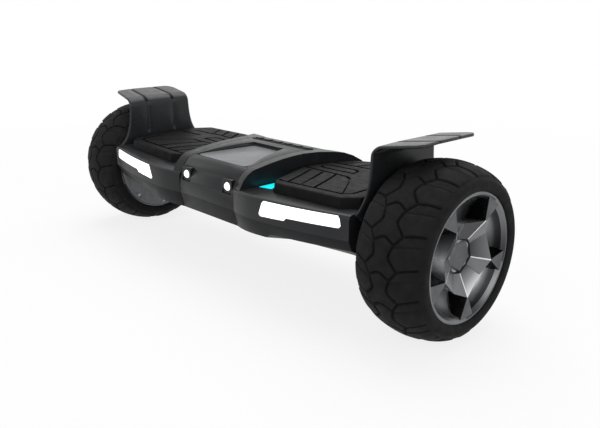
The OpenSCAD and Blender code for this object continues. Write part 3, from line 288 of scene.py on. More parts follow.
def make_piece(name: str, shell: Shell, finishes: list[Material], slots: list[int] | None = None) -> Object:
    """Makes a mesh object from points in millimetres.

    Args:
        name: The piece's name.
        shell: Points in the board's frame, in millimetres, and faces.
        finishes: The materials in slot order.
        slots: Material slot of each face, or None for the first.

    Returns:
        The new object, in the scene.
    """
    mesh = bpy.data.meshes.new(name)
    mesh.from_pydata((shell[0] * MM).tolist(), [], shell[1])
    for finish in finishes:
        mesh.materials.append(finish)
    if slots is not None:
        mesh.polygons.foreach_set("material_index", slots)
    edit = bmesh.new()
    edit.from_mesh(mesh)
    bmesh.ops.recalc_face_normals(edit, faces=edit.faces)
    edit.to_mesh(mesh)
    edit.free()
    return put(name, mesh)


def settle(piece: Object, soft: Pair, body: str, node: str | None = None) -> Object:
    """Softens a new piece and says what it is in the frame.

    Args:
        piece: The piece.
        soft: Width of its rounded edges, and the angle in degrees over which an edge is sharp.
        body: The body that it rides on.
        node: The CAD node that it stands for, or None.

    Returns:
        The piece.
    """
    soften(piece, *soft)
    if node is not None:
        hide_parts(node)
    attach(piece, body)
    return piece


# Finishes


def begin(name: str) -> tuple[Material, NodeSocket]:
    """Starts an empty material.

    Args:
        name: The material's name.

    Returns:
        The material, and the object coordinates in its node tree.
    """
    material = bpy.data.materials.new(name)
    material.use_nodes = True
    material.node_tree.nodes.clear()
    place = add_node(material.node_tree, "ShaderNodeTexCoord", {}, {})
    return material, place.outputs["Object"]


def covered(material: Material, constants: dict[str, object], links: dict[str, NodeSocket]) -> Material:
    """Gives a material its one physically based shader.

    Args:
        material: The material.
        constants: Values of the shader's sockets that are the same all over.
        links: The outputs that feed its other sockets.

    Returns:
        The material.
    """
    tree = material.node_tree
    body = add_node(tree, "ShaderNodeBsdfPrincipled", constants, links)
    add_node(tree, "ShaderNodeOutputMaterial", {}, {"Surface": body.outputs["BSDF"]})
    return material


def mottle(place: NodeSocket, size: float, low: Colour, high: Colour, detail: float = 3.0) -> NodeSocket:
    """Uneven colour, or grey for roughness, from noise.

    Args:
        place: Coordinates.
        size: Size of the patches in millimetres.
        low: Colour of the darkest patches.
        high: Colour of the lightest patches.
        detail: Finer levels in the noise.

    Returns:
        The colour output.
    """
    tree = place.id_data
    noise = add_node(tree, "ShaderNodeTexNoise", {"Scale": per_mm(size), "Detail": detail}, {"Vector": place})
    ramp = add_node(tree, "ShaderNodeValToRGB", {}, {"Fac": noise.outputs["Fac"]})
    for stop, position, colour in zip(ramp.color_ramp.elements, NOISE_SPAN, (low, high)):
        stop.position, stop.color = position, colour
    return ramp.outputs["Color"]


def relief(place: NodeSocket, texture: str, settings: dict[str, object], strength: float, deep: float) -> NodeSocket:
    """Fine relief from the first output of a texture.

    Args:
        place: Coordinates.
        texture: The texture node's type name.
        settings: The texture's options and sockets.
        strength: How far the relief shows.
        deep: Its depth in millimetres.

    Returns:
        The normal output.
    """
    tree = place.id_data
    height = add_node(tree, texture, settings, {"Vector": place}).outputs[0]
    bump = add_node(tree, "ShaderNodeBump", {"Strength": strength, "Distance": deep * MM}, {"Height": height})
    return bump.outputs["Normal"]


@dataclass(frozen=True)
class Finish:
    """What every finish has: the name of a real material and its main colour."""

    name: str
    colour: str

    def material(self) -> Material:
        """Makes the material, in each finish's own way."""
        raise NotImplementedError


@dataclass(frozen=True)
class MouldedPlastic(Finish):
    """ABS from an etched mould: a satin skin with a fine, even grain and faint flow marks."""

    roughness: float = 0.42
    spread: float = 0.05
    grain: float = 0.9
    grain_height: float = 0.02
    ior: float = 1.5
    specular: float = 0.26
    flow_mark: float = 38.0
    dull_patch: float = 14.0
    tone: float = 0.1
    grain_strength: float = 0.5

    def material(self) -> Material:
        """Makes the material. The real grain is about 0.2 mm and is drawn coarser so that it shows.

        Returns:
            The material.
        """
        made, place = begin(self.name)
        low, high = self.roughness - self.spread, self.roughness + self.spread
        dark, light = to_linear(self.colour, 1 - self.tone), to_linear(self.colour, 1 + self.tone)
        grain = {"Scale": per_mm(self.grain), "Detail": 2.0}
        links = {
            "Base Color": mottle(place, self.flow_mark, dark, light),
            "Roughness": mottle(place, self.dull_patch, grey(low), grey(high)),
            "Normal": relief(place, "ShaderNodeTexNoise", grain, self.grain_strength, self.grain_height),
        }
        return covered(made, {"IOR": self.ior, "Specular IOR Level": self.specular}, links)


@dataclass(frozen=True)
class MouldedRubber(Finish):
    """Vulcanised rubber from a blasted mould: dull, nearly black, with pale scuffs and a pebbled skin."""

    scuff: str
    roughness: float = 0.72
    spread: float = 0.08
    pebble: float = 1.4
    pebble_height: float = 0.06
    ior: float = 1.52
    specular: float = 0.35
    scuff_size: float = 24.0
    dull_patch: float = 9.0
    pebble_strength: float = 0.35

    def material(self) -> Material:
        """Makes the material. The pebbles are drawn at about three times their real 0.4 mm so that they show.

        Returns:
            The material.
        """
        made, place = begin(self.name)
        low, high = self.roughness - self.spread, self.roughness + self.spread
        pebbles = {"Scale": per_mm(self.pebble)}
        links = {
            "Base Color": mottle(place, self.scuff_size, to_linear(self.colour), to_linear(self.scuff), 5.0),
            "Roughness": mottle(place, self.dull_patch, grey(low), grey(high)),
            "Normal": relief(place, "ShaderNodeTexVoronoi", pebbles, self.pebble_strength, self.pebble_height),
        }
        return covered(made, {"IOR": self.ior, "Specular IOR Level": self.specular}, links)


class Working(Enum):
    """How a metal surface was finished; the value is the stretch of its marks along X, Y and Z."""

    CAST = (1.0, 1.0, 1.0)
    TURNED = (40.0, 1.0, 1.0)


@dataclass(frozen=True)
class WorkedMetal(Finish):
    """Aluminium, steel, bronze or copper: cast or plated with an even skin, or turned with fine rings."""

    working: Working
    roughness: float
    mark: float = 2.0
    mark_height: float = 0.01
    spread: float = 0.12
    tone_patch: float = 16.0
    dull_patch: float = 6.0
    mark_strength: float = 0.4

    def material(self) -> Material:
        """Makes the material. The marks are drawn coarser than those of a real tool or mould so that they show.

        Returns:
            The material.
        """
        made, place = begin(self.name)
        stretch = add_node(made.node_tree, "ShaderNodeVectorMath", {"operation": "MULTIPLY"}, {0: place})
        stretch.inputs[1].default_value = self.working.value
        marks = stretch.outputs["Vector"]
        dark, light = to_linear(self.colour, 1 - self.spread), to_linear(self.colour, 1 + self.spread)
        grain = {"Scale": per_mm(self.mark), "Detail": 3.0}
        links = {
            "Base Color": mottle(marks, self.tone_patch, dark, light),
            "Roughness": mottle(marks, self.dull_patch, grey(self.roughness * 0.8), grey(self.roughness * 1.2)),
            "Normal": relief(marks, "ShaderNodeTexNoise", grain, self.mark_strength, self.mark_height),
        }
        return covered(made, {"Metallic": 1.0}, links)


@dataclass(frozen=True)
class PaintedReflectionCasting(Finish):
    """Cast aluminium whose colour fades from dark to bright by a painted reflection, read from a mesh layer."""

    middle: str
    bright: str
    roughness: float = 0.26
    metallic: float = 0.6
    dull_patch: float = 7.0

    def material(self) -> Material:
        """Makes the material, over a mesh whose painted_reflection layer says how bright the painted reflection is.

        Returns:
            The material.
        """
        made, place = begin(self.name)
        reflection_share = add_node(made.node_tree, "ShaderNodeAttribute", {"attribute_name": "painted_reflection"}, {})
        ramp = add_node(made.node_tree, "ShaderNodeValToRGB", {}, {"Fac": reflection_share.outputs["Fac"]})
        stops = ramp.color_ramp.elements
        stops[0].color, stops[1].color = to_linear(self.colour), to_linear(self.bright)
        stops.new(0.5).color = to_linear(self.middle)
        rough = mottle(place, self.dull_patch, grey(self.roughness * 0.95), grey(self.roughness * 1.05))
        return covered(made, {"Metallic": self.metallic}, {"Base Color": ramp.outputs["Color"], "Roughness": rough})


@dataclass(frozen=True)
class LitAcrylic(Finish):
    """Acrylic over lit diodes: an even glow behind a clear gloss skin, a little uneven between the diodes."""

    strength: float
    diode_gap: float = 9.0
    ior: float = 1.49
    roughness: float = 0.12

    def material(self) -> Material:
        """Makes the material. The glow dips a little once in each gap between diodes.

        Returns:
            The material.
        """
        made, place = begin(self.name)
        glow = mottle(place, self.diode_gap, to_linear(self.colour, 0.94), to_linear(self.colour), 1.0)
        constants = {"IOR": self.ior, "Roughness": self.roughness, "Emission Strength": self.strength}
        return covered(made, constants, {"Base Color": glow, "Emission Color": glow})


FINISHES: dict[str, Finish] = {
    # ABS from an etched mould: near black, with soft and broad highlights.
    "shell": MouldedPlastic("abs_satin_charcoal", "#1b1c1e", 0.34),
    # The same ABS from a plainer mould: hardly any sheen.
    "belly": MouldedPlastic("abs_plain_charcoal", "#1b1c1e", 0.4, specular=0.12),
    # The same etched grain in a mid grey, so that the sunk panel stands out.
    "panel": MouldedPlastic("abs_satin_grey", "#737476", 0.34),
    # Polypropylene: a little paler and waxier, with a tighter highlight along the lip.
    "fender": MouldedPlastic("polypropylene_satin_charcoal", "#242527", 0.3),
    # ABS from a polished mould: smooth and black, with clear reflections.
    "bezel": MouldedPlastic("abs_gloss_black", "#060607", 0.3, 0.03, 2.0, 0.004),
    # Tinted acrylic, matted: a dark window that hardly shines; round the keys it also paints their shade.
    "smoked": MouldedPlastic("acrylic_smoked_matt", "#050506", 0.5, 0.02, 3.0, 0.002, 1.49, 0.05),
    # Matt ABS: a flat black with a dull edge.
    "port": MouldedPlastic("abs_matt_black", "#131314", 0.5),
    # Glass filled nylon: a dull, slightly uneven grey.
    "inner": MouldedPlastic("nylon_filled_grey", "#3f4144", 0.55),
    # Moulded rubber: a deep black with a faint sheen on its rounded edges. It also paints the shade in the fender's
    # creases and round the top panel.
    "pad": MouldedRubber("rubber_moulded_black", "#050506", "#090909", 0.55, specular=0.09),
    # Vulcanised tread rubber: dull and dry, with greyish scuffs.
    "tyre": MouldedRubber("tyre_rubber_vulcanised", "#0c0c0d", "#131314", 0.78, specular=0.16),
    # Soft rubber: the dullest and greyest of the blacks.
    "stop": MouldedRubber("rubber_soft_black", "#141415", "#1c1c1d", 0.8),
    # Opal acrylic over white diodes: a flat white glow.
    "white_light": LitAcrylic("acrylic_lit_white", "#ffffff", 1.0),
    # Opal acrylic over cyan diodes: a full colour that stays below white.
    "cyan_light": LitAcrylic("acrylic_lit_cyan", "#12e4f4", 0.8),
    # Cast aluminium with a painted reflection: painted shade in the hollows that fades to bright metal.
    "rim_bowl": PaintedReflectionCasting("aluminium_painted_reflection", "#333335", "#8a8b8d", "#e8eaec"),
    # Aluminium under black lacquer: nearly black, with clear reflections; on the spoke walls it also paints their
    # shade.
    "rim_black": WorkedMetal("aluminium_black_lacquer", "#1e1e1f", Working.CAST, 0.28),
    # Satin aluminium, dark: grey metal with soft reflections.
    "rim_grey": WorkedMetal("aluminium_satin_dark", "#5c5d5f", Working.CAST, 0.42),
    # Satin aluminium: the same, a shade paler.
    "rim_satin": WorkedMetal("aluminium_satin_grey", "#727476", Working.CAST, 0.4),
    # Aluminium with a painted highlight, for the spoke ridges: bright, with sharp reflections.
    "rim_bright": PaintedReflectionCasting("aluminium_painted_highlight", "#3f4041", "#9a9c9e", "#f4f5f6", 0.16),
    # Turned aluminium: an even grey with faint rings.
    "cover": WorkedMetal("aluminium_turned_grey", "#5f6163", Working.TURNED, 0.5, spread=0.03),
    # Die cast aluminium: pale, dull and a little pitted.
    "casting": WorkedMetal("aluminium_die_cast", "#a3a5a7", Working.CAST, 0.5, 1.2, 0.05),
    # Turned steel: bright, with fine rings.
    "steel": WorkedMetal("steel_turned", "#b4b7ba", Working.TURNED, 0.3),
    # Zinc plated steel: a cool grey with a soft gloss.
    "screw": WorkedMetal("steel_zinc_plated", "#83868a", Working.CAST, 0.35),
    # Sintered bronze: a dull brown yellow with open pores.
    "bronze": WorkedMetal("bronze_sintered", "#a87c45", Working.CAST, 0.5, 0.8, 0.05),
    # Enamelled copper wire: a warm red brown under a thin gloss.
    "copper": WorkedMetal("copper_enamelled", "#a55a2c", Working.CAST, 0.35),
    # Epoxy glass board: a glossy green.
    "board": MouldedPlastic("epoxy_glass_green", "#1d5231", 0.3),
    # Vinyl shrink wrap: a glossy blue skin.
    "wrap": MouldedPlastic("vinyl_shrink_blue", "#24509a", 0.25),
}


# Sub-assemblies


@dataclass
class Part:
    """A sub-assembly of one side of the board, and the finishes that dress it."""

    finish: Palette
    side: Side

    def build(self) -> list[Object]:
        """Makes and dresses the pieces, in each part's own way."""
        raise NotImplementedError


@dataclass
class WheelPart(Part):
    """A part of one wheel, made about its axle."""

    wheel_x: float = 329.0
    axle_z: float = 108.0

    def placed(self, points: np.ndarray) -> np.ndarray:
        """Points about the axle moved to this side's wheel."""
        return points * (self.side.value, 1, 1) + (self.side.value * self.wheel_x, 0, self.axle_z)


@dataclass
class Tyre(WheelPart):
    """A wide rubber tyre with a honeycomb tread: six sided blocks in the middle and lugs on the shoulders."""

    radius: float = 108.0
    half: float = 48.5
    wide: float = 86.5
    crown_power: float = 1.7
    crown_root: float = 2.3
    seat: float = 72.1
    seat_half: float = 40.9
    bead: float = 78.6
    bead_half: float = 45.1
    blocks: int = 17
    notch_share: float = 0.353
    drift_share: float = 0.165
    groove: float = 2.4
    groove_soft: float = 0.8
    groove_deep: float = 3.2
    lug_groove_deep: float = 1.5
    channel_deep: float = 0.7
    ledge: float = 1.0
    nose: float = 10.0
    knee: float = 13.7
    notch: float = 22.0
    lug_end: float = 46.0
    around: int = 816
    across: int = 150
    crown_samples: int = 1201
    wall_samples: int = 60

    def profile(self) -> np.ndarray:
        """Draws the section from one bead over the crown to the other.

        Returns:
            Evenly spaced points, as radius and distance out.
        """
        u = np.sin(np.linspace(-math.pi / 2, math.pi / 2, self.crown_samples))
        bulge = np.clip(1 - np.abs(u) ** self.crown_power, 0.0, 1.0) ** (1 / self.crown_root)
        crown = np.stack([self.wide + (self.radius - self.wide) * bulge, u * self.half], 1)
        a = np.linspace(0, math.pi / 2, self.wall_samples)[1:]
        wall_r = self.wide - (self.wide - self.bead) * np.sin(a)
        wall = np.stack([wall_r, self.bead_half + (self.half - self.bead_half) * np.cos(a)], 1)
        line = np.concatenate([wall[::-1] * (1, -1), crown, wall])
        run = run_along(line)
        even = np.linspace(0, run[-1], self.across + 1)
        return np.stack([np.interp(even, run, line[:, k]) for k in (0, 1)], 1)

    @staticmethod
    def nearest(paths: list[list[Pair]], s: np.ndarray, t: np.ndarray, pitch: float) -> np.ndarray:
        """Distance to the nearest of some grooves.

        Args:
            paths: Each groove's points, round the tyre and across it.
            s: Distance round the tyre from the middle of a block.
            t: Distance across from the tyre's middle line.
            pitch: Length of a block round the tyre.

        Returns:
            The distance at each point.
        """
        found = np.full(s.shape, np.inf)
        for path in paths:
            for (s0, t0), (s1, t1) in zip(path, path[1:]):
                ds, dt = s1 - s0, t1 - t0
                for move in (-pitch, 0.0, pitch):
                    part = np.clip(((s - s0 - move) * ds + (t - t0) * dt) / (ds * ds + dt * dt), 0, 1)
                    found = np.minimum(found, np.hypot(s - s0 - move - part * ds, t - t0 - part * dt))
        return found

    def carve(self, s: np.ndarray, t: np.ndarray) -> np.ndarray:
        """How deep the tread is cut.

        Args:
            s: Distance round the tyre.
            t: Distance across from the tyre's middle line, along the rubber.

        Returns:
            Depth at each point.
        """
        pitch = 2 * math.pi * self.radius / self.blocks
        low, drift = self.notch_share * pitch, self.drift_share * pitch
        along, over = np.mod(s + pitch / 2, pitch) - pitch / 2, np.abs(t)
        nose, knee, notch, end = self.nose, self.knee, self.notch, self.lug_end
        zigzag = [(low - pitch, notch), (-low, knee), (-4.0, nose + 0.4)]
        zigzag += [(0.0, nose), (3.0, nose + 1.4), (low, notch)]
        middle = [(-low, knee), (-0.5 * pitch, 4.0), (-0.525 * pitch, 0.0)]
        lug_low = [(low, notch), (low - 0.6 * drift, notch + 12.0), (low - drift, end)]
        lug_high = [(-low + 2.5, knee), (-low + 0.5, notch), (-low - 0.8 * drift, end)]
        inner, outer = self.groove / 2 - self.groove_soft, self.groove / 2 + self.groove_soft
        cut = np.zeros(s.shape)
        for paths, deep in (([zigzag, middle, lug_low], self.groove_deep), ([lug_high], self.lug_groove_deep)):
            cut = np.maximum(cut, deep * (1 - smoothstep(inner, outer, self.nearest(paths, along, over, pitch))))
        part = np.clip((over - notch) / (end - notch), -0.3, 1.0)
        past = np.mod(along - low + drift * part, pitch)
        wide = pitch - 2 * low + 0.2 * drift * part
        slot = smoothstep(0.0, 1.2, past) * (1 - smoothstep(wide - 0.6, wide + 0.6, past))
        slot = slot * smoothstep(-0.6, 0.6, over - notch + past * (notch - knee) / (pitch - 2 * low))
        cut = np.maximum(cut, slot * self.channel_deep) * (1 - smoothstep(end - 1.0, end + 3.0, over))
        step = smoothstep(end - 0.5, end + 1.0, over) * (1 - smoothstep(end + 2.0, end + 9.0, over))
        return np.maximum(cut, step * self.ledge)

    def build(self) -> list[Object]:
        """Makes the tyre in place of its CAD node.

        Returns:
            The tyre.
        """
        crown = self.profile()
        step = np.gradient(crown, axis=0)
        normal = np.stack([step[:, 1], -step[:, 0]], 1) / np.linalg.norm(step, axis=1, keepdims=True)
        run = run_along(crown)
        turn = np.linspace(0, 2 * math.pi, self.around, endpoint=False)
        depth = self.carve(*np.meshgrid(turn * self.radius, run - run[len(run) // 2], indexing="ij"))
        edge = self.seat_half
        closing = np.array([(self.bead, edge), (self.seat, edge), (self.seat, -edge), (self.bead, -edge)])
        rings = crown[None] - depth[:, :, None] * normal[None]
        rings = np.concatenate([rings, np.repeat(closing[None], self.around, 0)], 1)
        points = self.placed(about_axle(turn[:, None], rings[:, :, 0], rings[:, :, 1]))
        shell = points, skin(self.around, rings.shape[1], True, True)
        tyre = make_piece(self.side.named("tread"), shell, [self.finish["tyre"]])
        return [settle(tyre, (0.0, 50.0), self.side.named("wheel"), self.side.named("tyre"))]


@dataclass
class Rim(WheelPart):
    """A cast rim with a satin lip, bowls and blade like spokes that fork at their tips, with painted shade,
    reflections and highlights on bowls and spokes.
    """

    edge: float = 78.5
    seat: float = 72.0
    barrel: float = 67.0
    out: float = 45.0
    flange: float = 4.0
    bowl_mid: float = 50.0
    bowl_r: float = 21.0
    bowl_drop: float = 4.5
    web_in: float = 16.5
    web_out: float = 20.5
    bore: float = 9.6
    hub: float = 20.0
    hub_out: float = 29.0
    cap: float = 21.2
    spokes: int = 5
    first_spoke: float = -16.0
    valley: float = 45.0
    fork: float = 48.0
    tip: float = 75.2
    # The angle at which the spokes' painted highlight is brightest.
    lowest: float = -100.0
    satin_from: float = 75.0
    satin_deep: float = 2.0
    # Where the bowls' painted reflection falls: painted shade behind a spoke, bright before the next, brighter mid
    # way out and darker at the lip.
    between: Pair = (0.1, 0.7)
    bowl_share: float = 0.55
    mid_gain: float = 0.25
    mid_span: Pair = (38.0, 58.0)
    lip_loss: float = 0.5
    lip_span: Pair = (60.0, 72.0)
    around: int = 180

    def dish(self) -> list[Pair]:
        """Draws the rim's section, from the hub out over the bowl and lip and back along the barrel.

        Returns:
            Points, as radius and distance out.
        """
        out, back, top = self.out, self.out - self.flange, self.out - self.bowl_drop
        front = [(self.bore, self.hub_out), (self.hub, self.hub_out), (self.hub, self.web_out)]
        turns = np.linspace(math.pi / 2, 0, 12)
        deep = top - self.web_out
        bowl = [(self.bowl_mid + self.bowl_r * math.cos(a), top - deep * math.sin(a)) for a in turns]
        lip = [(74.0, out - 0.9), (74.6, out - 0.3), (75.6, out), (77.4, out), (78.2, out - 0.3)]
        lip.append((self.edge, out - 1.0))
        drum = [(self.edge, back), (self.seat, back), (self.seat, -back), (self.edge, -back), (self.edge, -out)]
        web = [(self.barrel, -out), (self.barrel, self.web_in), (self.bore, self.web_in)]
        return front + bowl + lip + drum + web

    def spoke(self) -> tuple[list[Triple], list[Face], list[int]]:
        """One spoke about the axle.

        Returns:
            Points as (radius, angle in degrees, distance out), the faces and their material slots.
        """
        low, face, dip = self.web_out - 1.0, self.out - 0.8, self.out - 6.0
        ahead, behind = self.valley, self.valley - 360.0 / self.spokes
        root, foot = (self.cap + 0.2, self.hub_out + 3.0), (self.cap + 0.8, self.hub_out + 1.0)
        points = [(root[0], 1.8, root[1]), (self.fork, 0.9, face)]
        points += [(43.5, ahead, dip), (foot[0], ahead, foot[1]), (43.5, behind, dip), (foot[0], behind, foot[1])]
        points += [(self.tip, 10.0, face), (self.tip, -10.0, face), (10.0, 0.0, low)]
        points += [(40.0, ahead, low), (12.0, ahead, low), (40.0, behind, low), (12.0, behind, low)]
        points += [(73.5, 12.0, low + 14.0), (73.5, -12.0, low + 14.0), (44.0, 6.0, low), (44.0, -6.0, low)]
        points += [(root[0], -1.8, root[1]), (self.fork, -0.9, face)]
        front = [(0, 1, 2, 3), (17, 5, 4, 18), (0, 17, 18, 1), (1, 18, 7, 6), (1, 15, 9, 2), (18, 4, 11, 16)]
        walls = [(1, 6, 13, 15), (18, 16, 14, 7), (6, 7, 14, 13), (2, 9, 10, 3), (4, 5, 12, 11), (0, 3, 10, 8)]
        rest = [(17, 8, 12, 5), (0, 8, 17), (15, 13, 14, 16), (8, 10, 9, 15), (8, 15, 16), (8, 16, 11, 12)]
        return points, front + walls + rest, [3, 3, 2, 1, 3, 3] + [0] * len(walls + rest)

    def reflection_share(self, face: int, point: int, spoke: int) -> float:
        """How bright a spoke's painted reflection is; its leading flank gets the brightest painted highlight low on
        the wheel.

        Args:
            face: The face's number in its spoke: the flanks, ridge, tip and end walls come first.
            point: The point's number in its spoke.
            spoke: The spoke's number.

        Returns:
            A share from 0, dark, to 1, bright.
        """
        marks = {
            0: {0: 0.1, 1: 1.0, 2: 0.8, 3: 0.0},
            1: {17: 0.3, 5: 0.2, 4: 0.35, 18: 0.3},
            2: {0: 0.8, 17: 0.8, 18: 1.0, 1: 1.0},
            4: {1: 0.05, 15: 0.05, 9: 0.8, 2: 0.8},
            5: {18: 0.25, 16: 0.25, 11: 0.8, 4: 0.8},
        }
        turn = math.radians(self.first_spoke + 360.0 / self.spokes * spoke - self.lowest)
        share = ((1.0 + math.cos(turn)) / 2) ** 2 if face == 0 else 1.0
        return marks.get(face, {}).get(point, 0.3) * share

    def painted_reflection(self, points: np.ndarray) -> np.ndarray:
        """Paints reflection and shade into the bowls: painted shade behind each spoke and at the lip, a bright
        painted reflection before the next.

        Args:
            points: Points about the axle.

        Returns:
            The share of painted reflection at each point.
        """
        turn = np.degrees(np.arctan2(points[:, 2], points[:, 1])) - self.first_spoke
        pitch = 360.0 / self.spokes
        radius = np.hypot(points[:, 1], points[:, 2])
        towards_lip = self.bowl_share + self.mid_gain * smoothstep(*self.mid_span, radius)
        towards_lip = towards_lip - self.lip_loss * smoothstep(*self.lip_span, radius)
        return smoothstep(*self.between, np.mod(turn, pitch) / pitch) * towards_lip

    def build(self) -> list[Object]:
        """Makes the rim in place of its CAD node.

        Returns:
            The rim and its spokes.
        """
        section = self.dish()
        points, faces = revolve(section, self.around)
        lips = [int(r > self.satin_from and out > self.out - self.satin_deep) for r, out in section]
        slots = [lips[f[0] % len(section)] for f in faces]
        coats = [self.finish["rim_bowl"], self.finish["rim_satin"]]
        rim = make_piece(self.side.named("rim_bowl"), (self.placed(points), faces), coats, slots)
        # Painted reflection and shade across the bowls, carried in a mesh layer.
        rim.data.attributes.new("painted_reflection", "FLOAT", "POINT").data.foreach_set("value", self.painted_reflection(points))
        corners, blade, slots = self.spoke()
        radius, angle, out = np.array(corners).T
        turns = [np.radians(self.first_spoke + 360 / self.spokes * k + angle) for k in range(self.spokes)]
        points, faces = joined([(about_axle(turn, radius, out), blade) for turn in turns])
        # Facet coats: black lacquer that also paints shade on the spoke walls, grey tips, a painted highlight on the
        # ridges, and painted reflection on the flanks.
        coats = [self.finish[key] for key in ("rim_black", "rim_grey", "rim_bright", "rim_bowl")]
        spokes = make_piece(self.side.named("rim_spokes"), (self.placed(points), faces), coats, slots * self.spokes)
        each, count = len(blade), len(corners)
        sides = [(f.index % each, v % count, f.index // each) for f in spokes.data.polygons for v in f.vertices]
        # Painted reflection and highlight on the spokes' faces, set at each corner.
        layer = spokes.data.attributes.new("painted_reflection", "FLOAT", "CORNER")
        layer.data.foreach_set("value", [self.reflection_share(*side) for side in sides])
        body, node = self.side.named("wheel"), self.side.named("rim")
        pairs = ((rim, (0.0, 35.0)), (spokes, (0.35, 12.0)))
        return [settle(piece, soft, body, node) for piece, soft in pairs]


@dataclass
class FootPad(Part):
    """A moulded rubber foot pad with rounded edges and grooves, hollow underneath for its plate and stops."""

    slope: float = 2.0
    seam_x: float = 65.0
    deck_z: float = 148.0
    under_z: float = 144.3
    top_z: float = 161.5
    run: float = 3.0
    wall: float = 4.0
    end: float = 259.0
    front: float = 74.0
    back: float = 97.0
    rise: float = 4.0
    nose: float = 124.0
    hump_x: float = 84.2
    corner: float = 7.0
    corner_steps: int = 6
    groove: float = 4.2
    groove_deep: float = 2.4
    groove_over: float = 3.0
    groove_foot: float = 0.4
    groove_mouth: float = 0.65

    def outline(self) -> list[Pair]:
        """Draws the pad's top edge as seen from above.

        Returns:
            Its corners, in order.
        """
        beside = [self.back - 10 + (24 - self.back) * i / 3 for i in range(4)]
        return [
            (self.nose, -self.front),
            (self.end - 20, -self.front),
            (self.end, 17 - self.front),
            (self.end, self.back - 42),
            (self.end - 20, self.back - 12),
            (self.end - 110, self.back),
            *[(self.hump_x + max(y - 6.0, 0.0) ** 2 / 200.0, y) for y in beside],
            (self.nose - 13, 11 - self.front),
        ]

    def lift(self, y: np.ndarray) -> np.ndarray:
        """How far the tilted top has risen at this distance back."""
        return (y + self.front) * self.rise / (self.front + self.back)

    def sloped(self, shell: Shell) -> Shell:
        """Gives a shell made at the seam the deck's slope, and puts it on this side.

        Args:
            shell: The shell, level and on the right.

        Returns:
            The shell in its place.
        """
        turn = np.array(Matrix.Rotation(-math.radians(self.slope), 3, "Y"))
        centre = np.array((self.seam_x, 0.0, self.deck_z))
        return ((shell[0] - centre) @ turn.T + centre) * (self.side.value, 1, 1), shell[1]

    def grooves(self) -> list[tuple[float, list[Pair]]]:
        """Draws the grooves on the pad's top.

        Returns:
            The width and the middle line of each.
        """
        wide, thin = self.groove, 0.5 * self.groove
        lines = [(wide, [(x + 26.0, -61.0), (x + 12.0, -24.0), (x, 4.0)]) for x in (108.0, 132.0, 157.0)]
        lines.append((wide, [(115.0, -60.0), (124.0, -62.0), (232.0, -62.0), (241.0, -53.0), (242.0, -22.0)]))
        lines.append((wide, [(88.0, 13.0), (112.0, 11.0), (160.0, 7.0), (178.0, 4.5), (188.0, -2.0)]))
        lines.append((thin, [(188.0, -2.0), (206.0, -24.0), (231.0, -61.0)]))
        loop = [(112.0, 41.0), (158.0, 41.0), (166.0, 38.0), (171.0, 31.0), (172.0, 23.0), (114.0, 25.0)]
        lines.append((wide, [*loop, (106.0, 28.0), (103.5, 33.5), (106.0, 39.0), loop[0]]))
        lines.append((wide, [(98.0, 57.0), (176.0, 57.0), (238.0, 47.0)]))
        lines += [(wide, [(x, 61.0), (x + 14.0, 86.0)]) for x in (122.0, 147.0, 172.0, 197.0)]
        lines.append((wide, [(200.0, 32.0), (244.0, 26.0)]))
        return lines

    def cutter(self) -> Object:
        """Makes a solid in the shape of all the grooves, with round ends and sloping sides.

        Returns:
            The solid, as an object.
        """
        shells = []
        bend = math.pi * np.arange(7) / 6
        for width, line in self.grooves():
            for (x0, y0), (x1, y1) in zip(line, line[1:]):
                a = math.atan2(y1 - y0, x1 - x0)
                turn = np.concatenate([a - math.pi / 2 + bend, a + math.pi / 2 + bend])
                rings = []
                for up, grow in ((-self.groove_deep, self.groove_foot), (self.groove_over, self.groove_mouth)):
                    x = np.repeat([x1, x0], len(bend)) + width * grow * np.cos(turn)
                    y = np.repeat([y1, y0], len(bend)) + width * grow * np.sin(turn)
                    rings.append(np.column_stack([x, y, self.top_z + self.lift(y) + up]))
                shells.append(stacked(rings))
        return make_piece("groove_tool", self.sloped(joined(shells)), [])

    def build(self) -> list[Object]:
        """Makes the pad in place of its CAD node.

        Returns:
            The pad.
        """
        inner = self.wall - self.run
        levels = [(self.top_z - self.wall, self.wall, 0.0), (self.deck_z, inner, 0.0), (self.under_z, inner, 0.0)]
        levels += [(self.under_z, -self.run, 0.0), (self.deck_z, -self.run, 0.0)]
        levels.append((self.deck_z + 2.0, 0.4 - self.run, 0.2))
        rounding = ((3.0, -1.0), (1.7, -0.6), (0.9, 0.2), (0.5, 1.4), (0.2, 3.6), (0.0, 6.5))
        levels += [(self.top_z - drop, move, 1.0) for drop, move in rounding]
        rings = []
        for z, move, tilt in levels:
            flat = fillet(inset(self.outline(), move), self.corner, self.corner_steps)
            rings.append(np.column_stack([flat, z + tilt * self.lift(flat[:, 1])]))
        pad = make_piece(self.side.named("foot_pad"), self.sloped(stacked(rings)), [self.finish["pad"]])
        tool = self.cutter()
        cut = pad.modifiers.new("grooves", "BOOLEAN")
        cut.operation, cut.solver, cut.use_self, cut.object = "DIFFERENCE", "EXACT", True, tool
        bpy.context.view_layer.update()
        carved = bpy.data.meshes.new_from_object(pad.evaluated_get(bpy.context.evaluated_depsgraph_get()))
        pad.modifiers.clear()
        pad.data = carved
        bpy.data.objects.remove(tool)
        return [settle(pad, (0.35, 38.0), self.side.named("pedal"), self.side.named("pad"))]


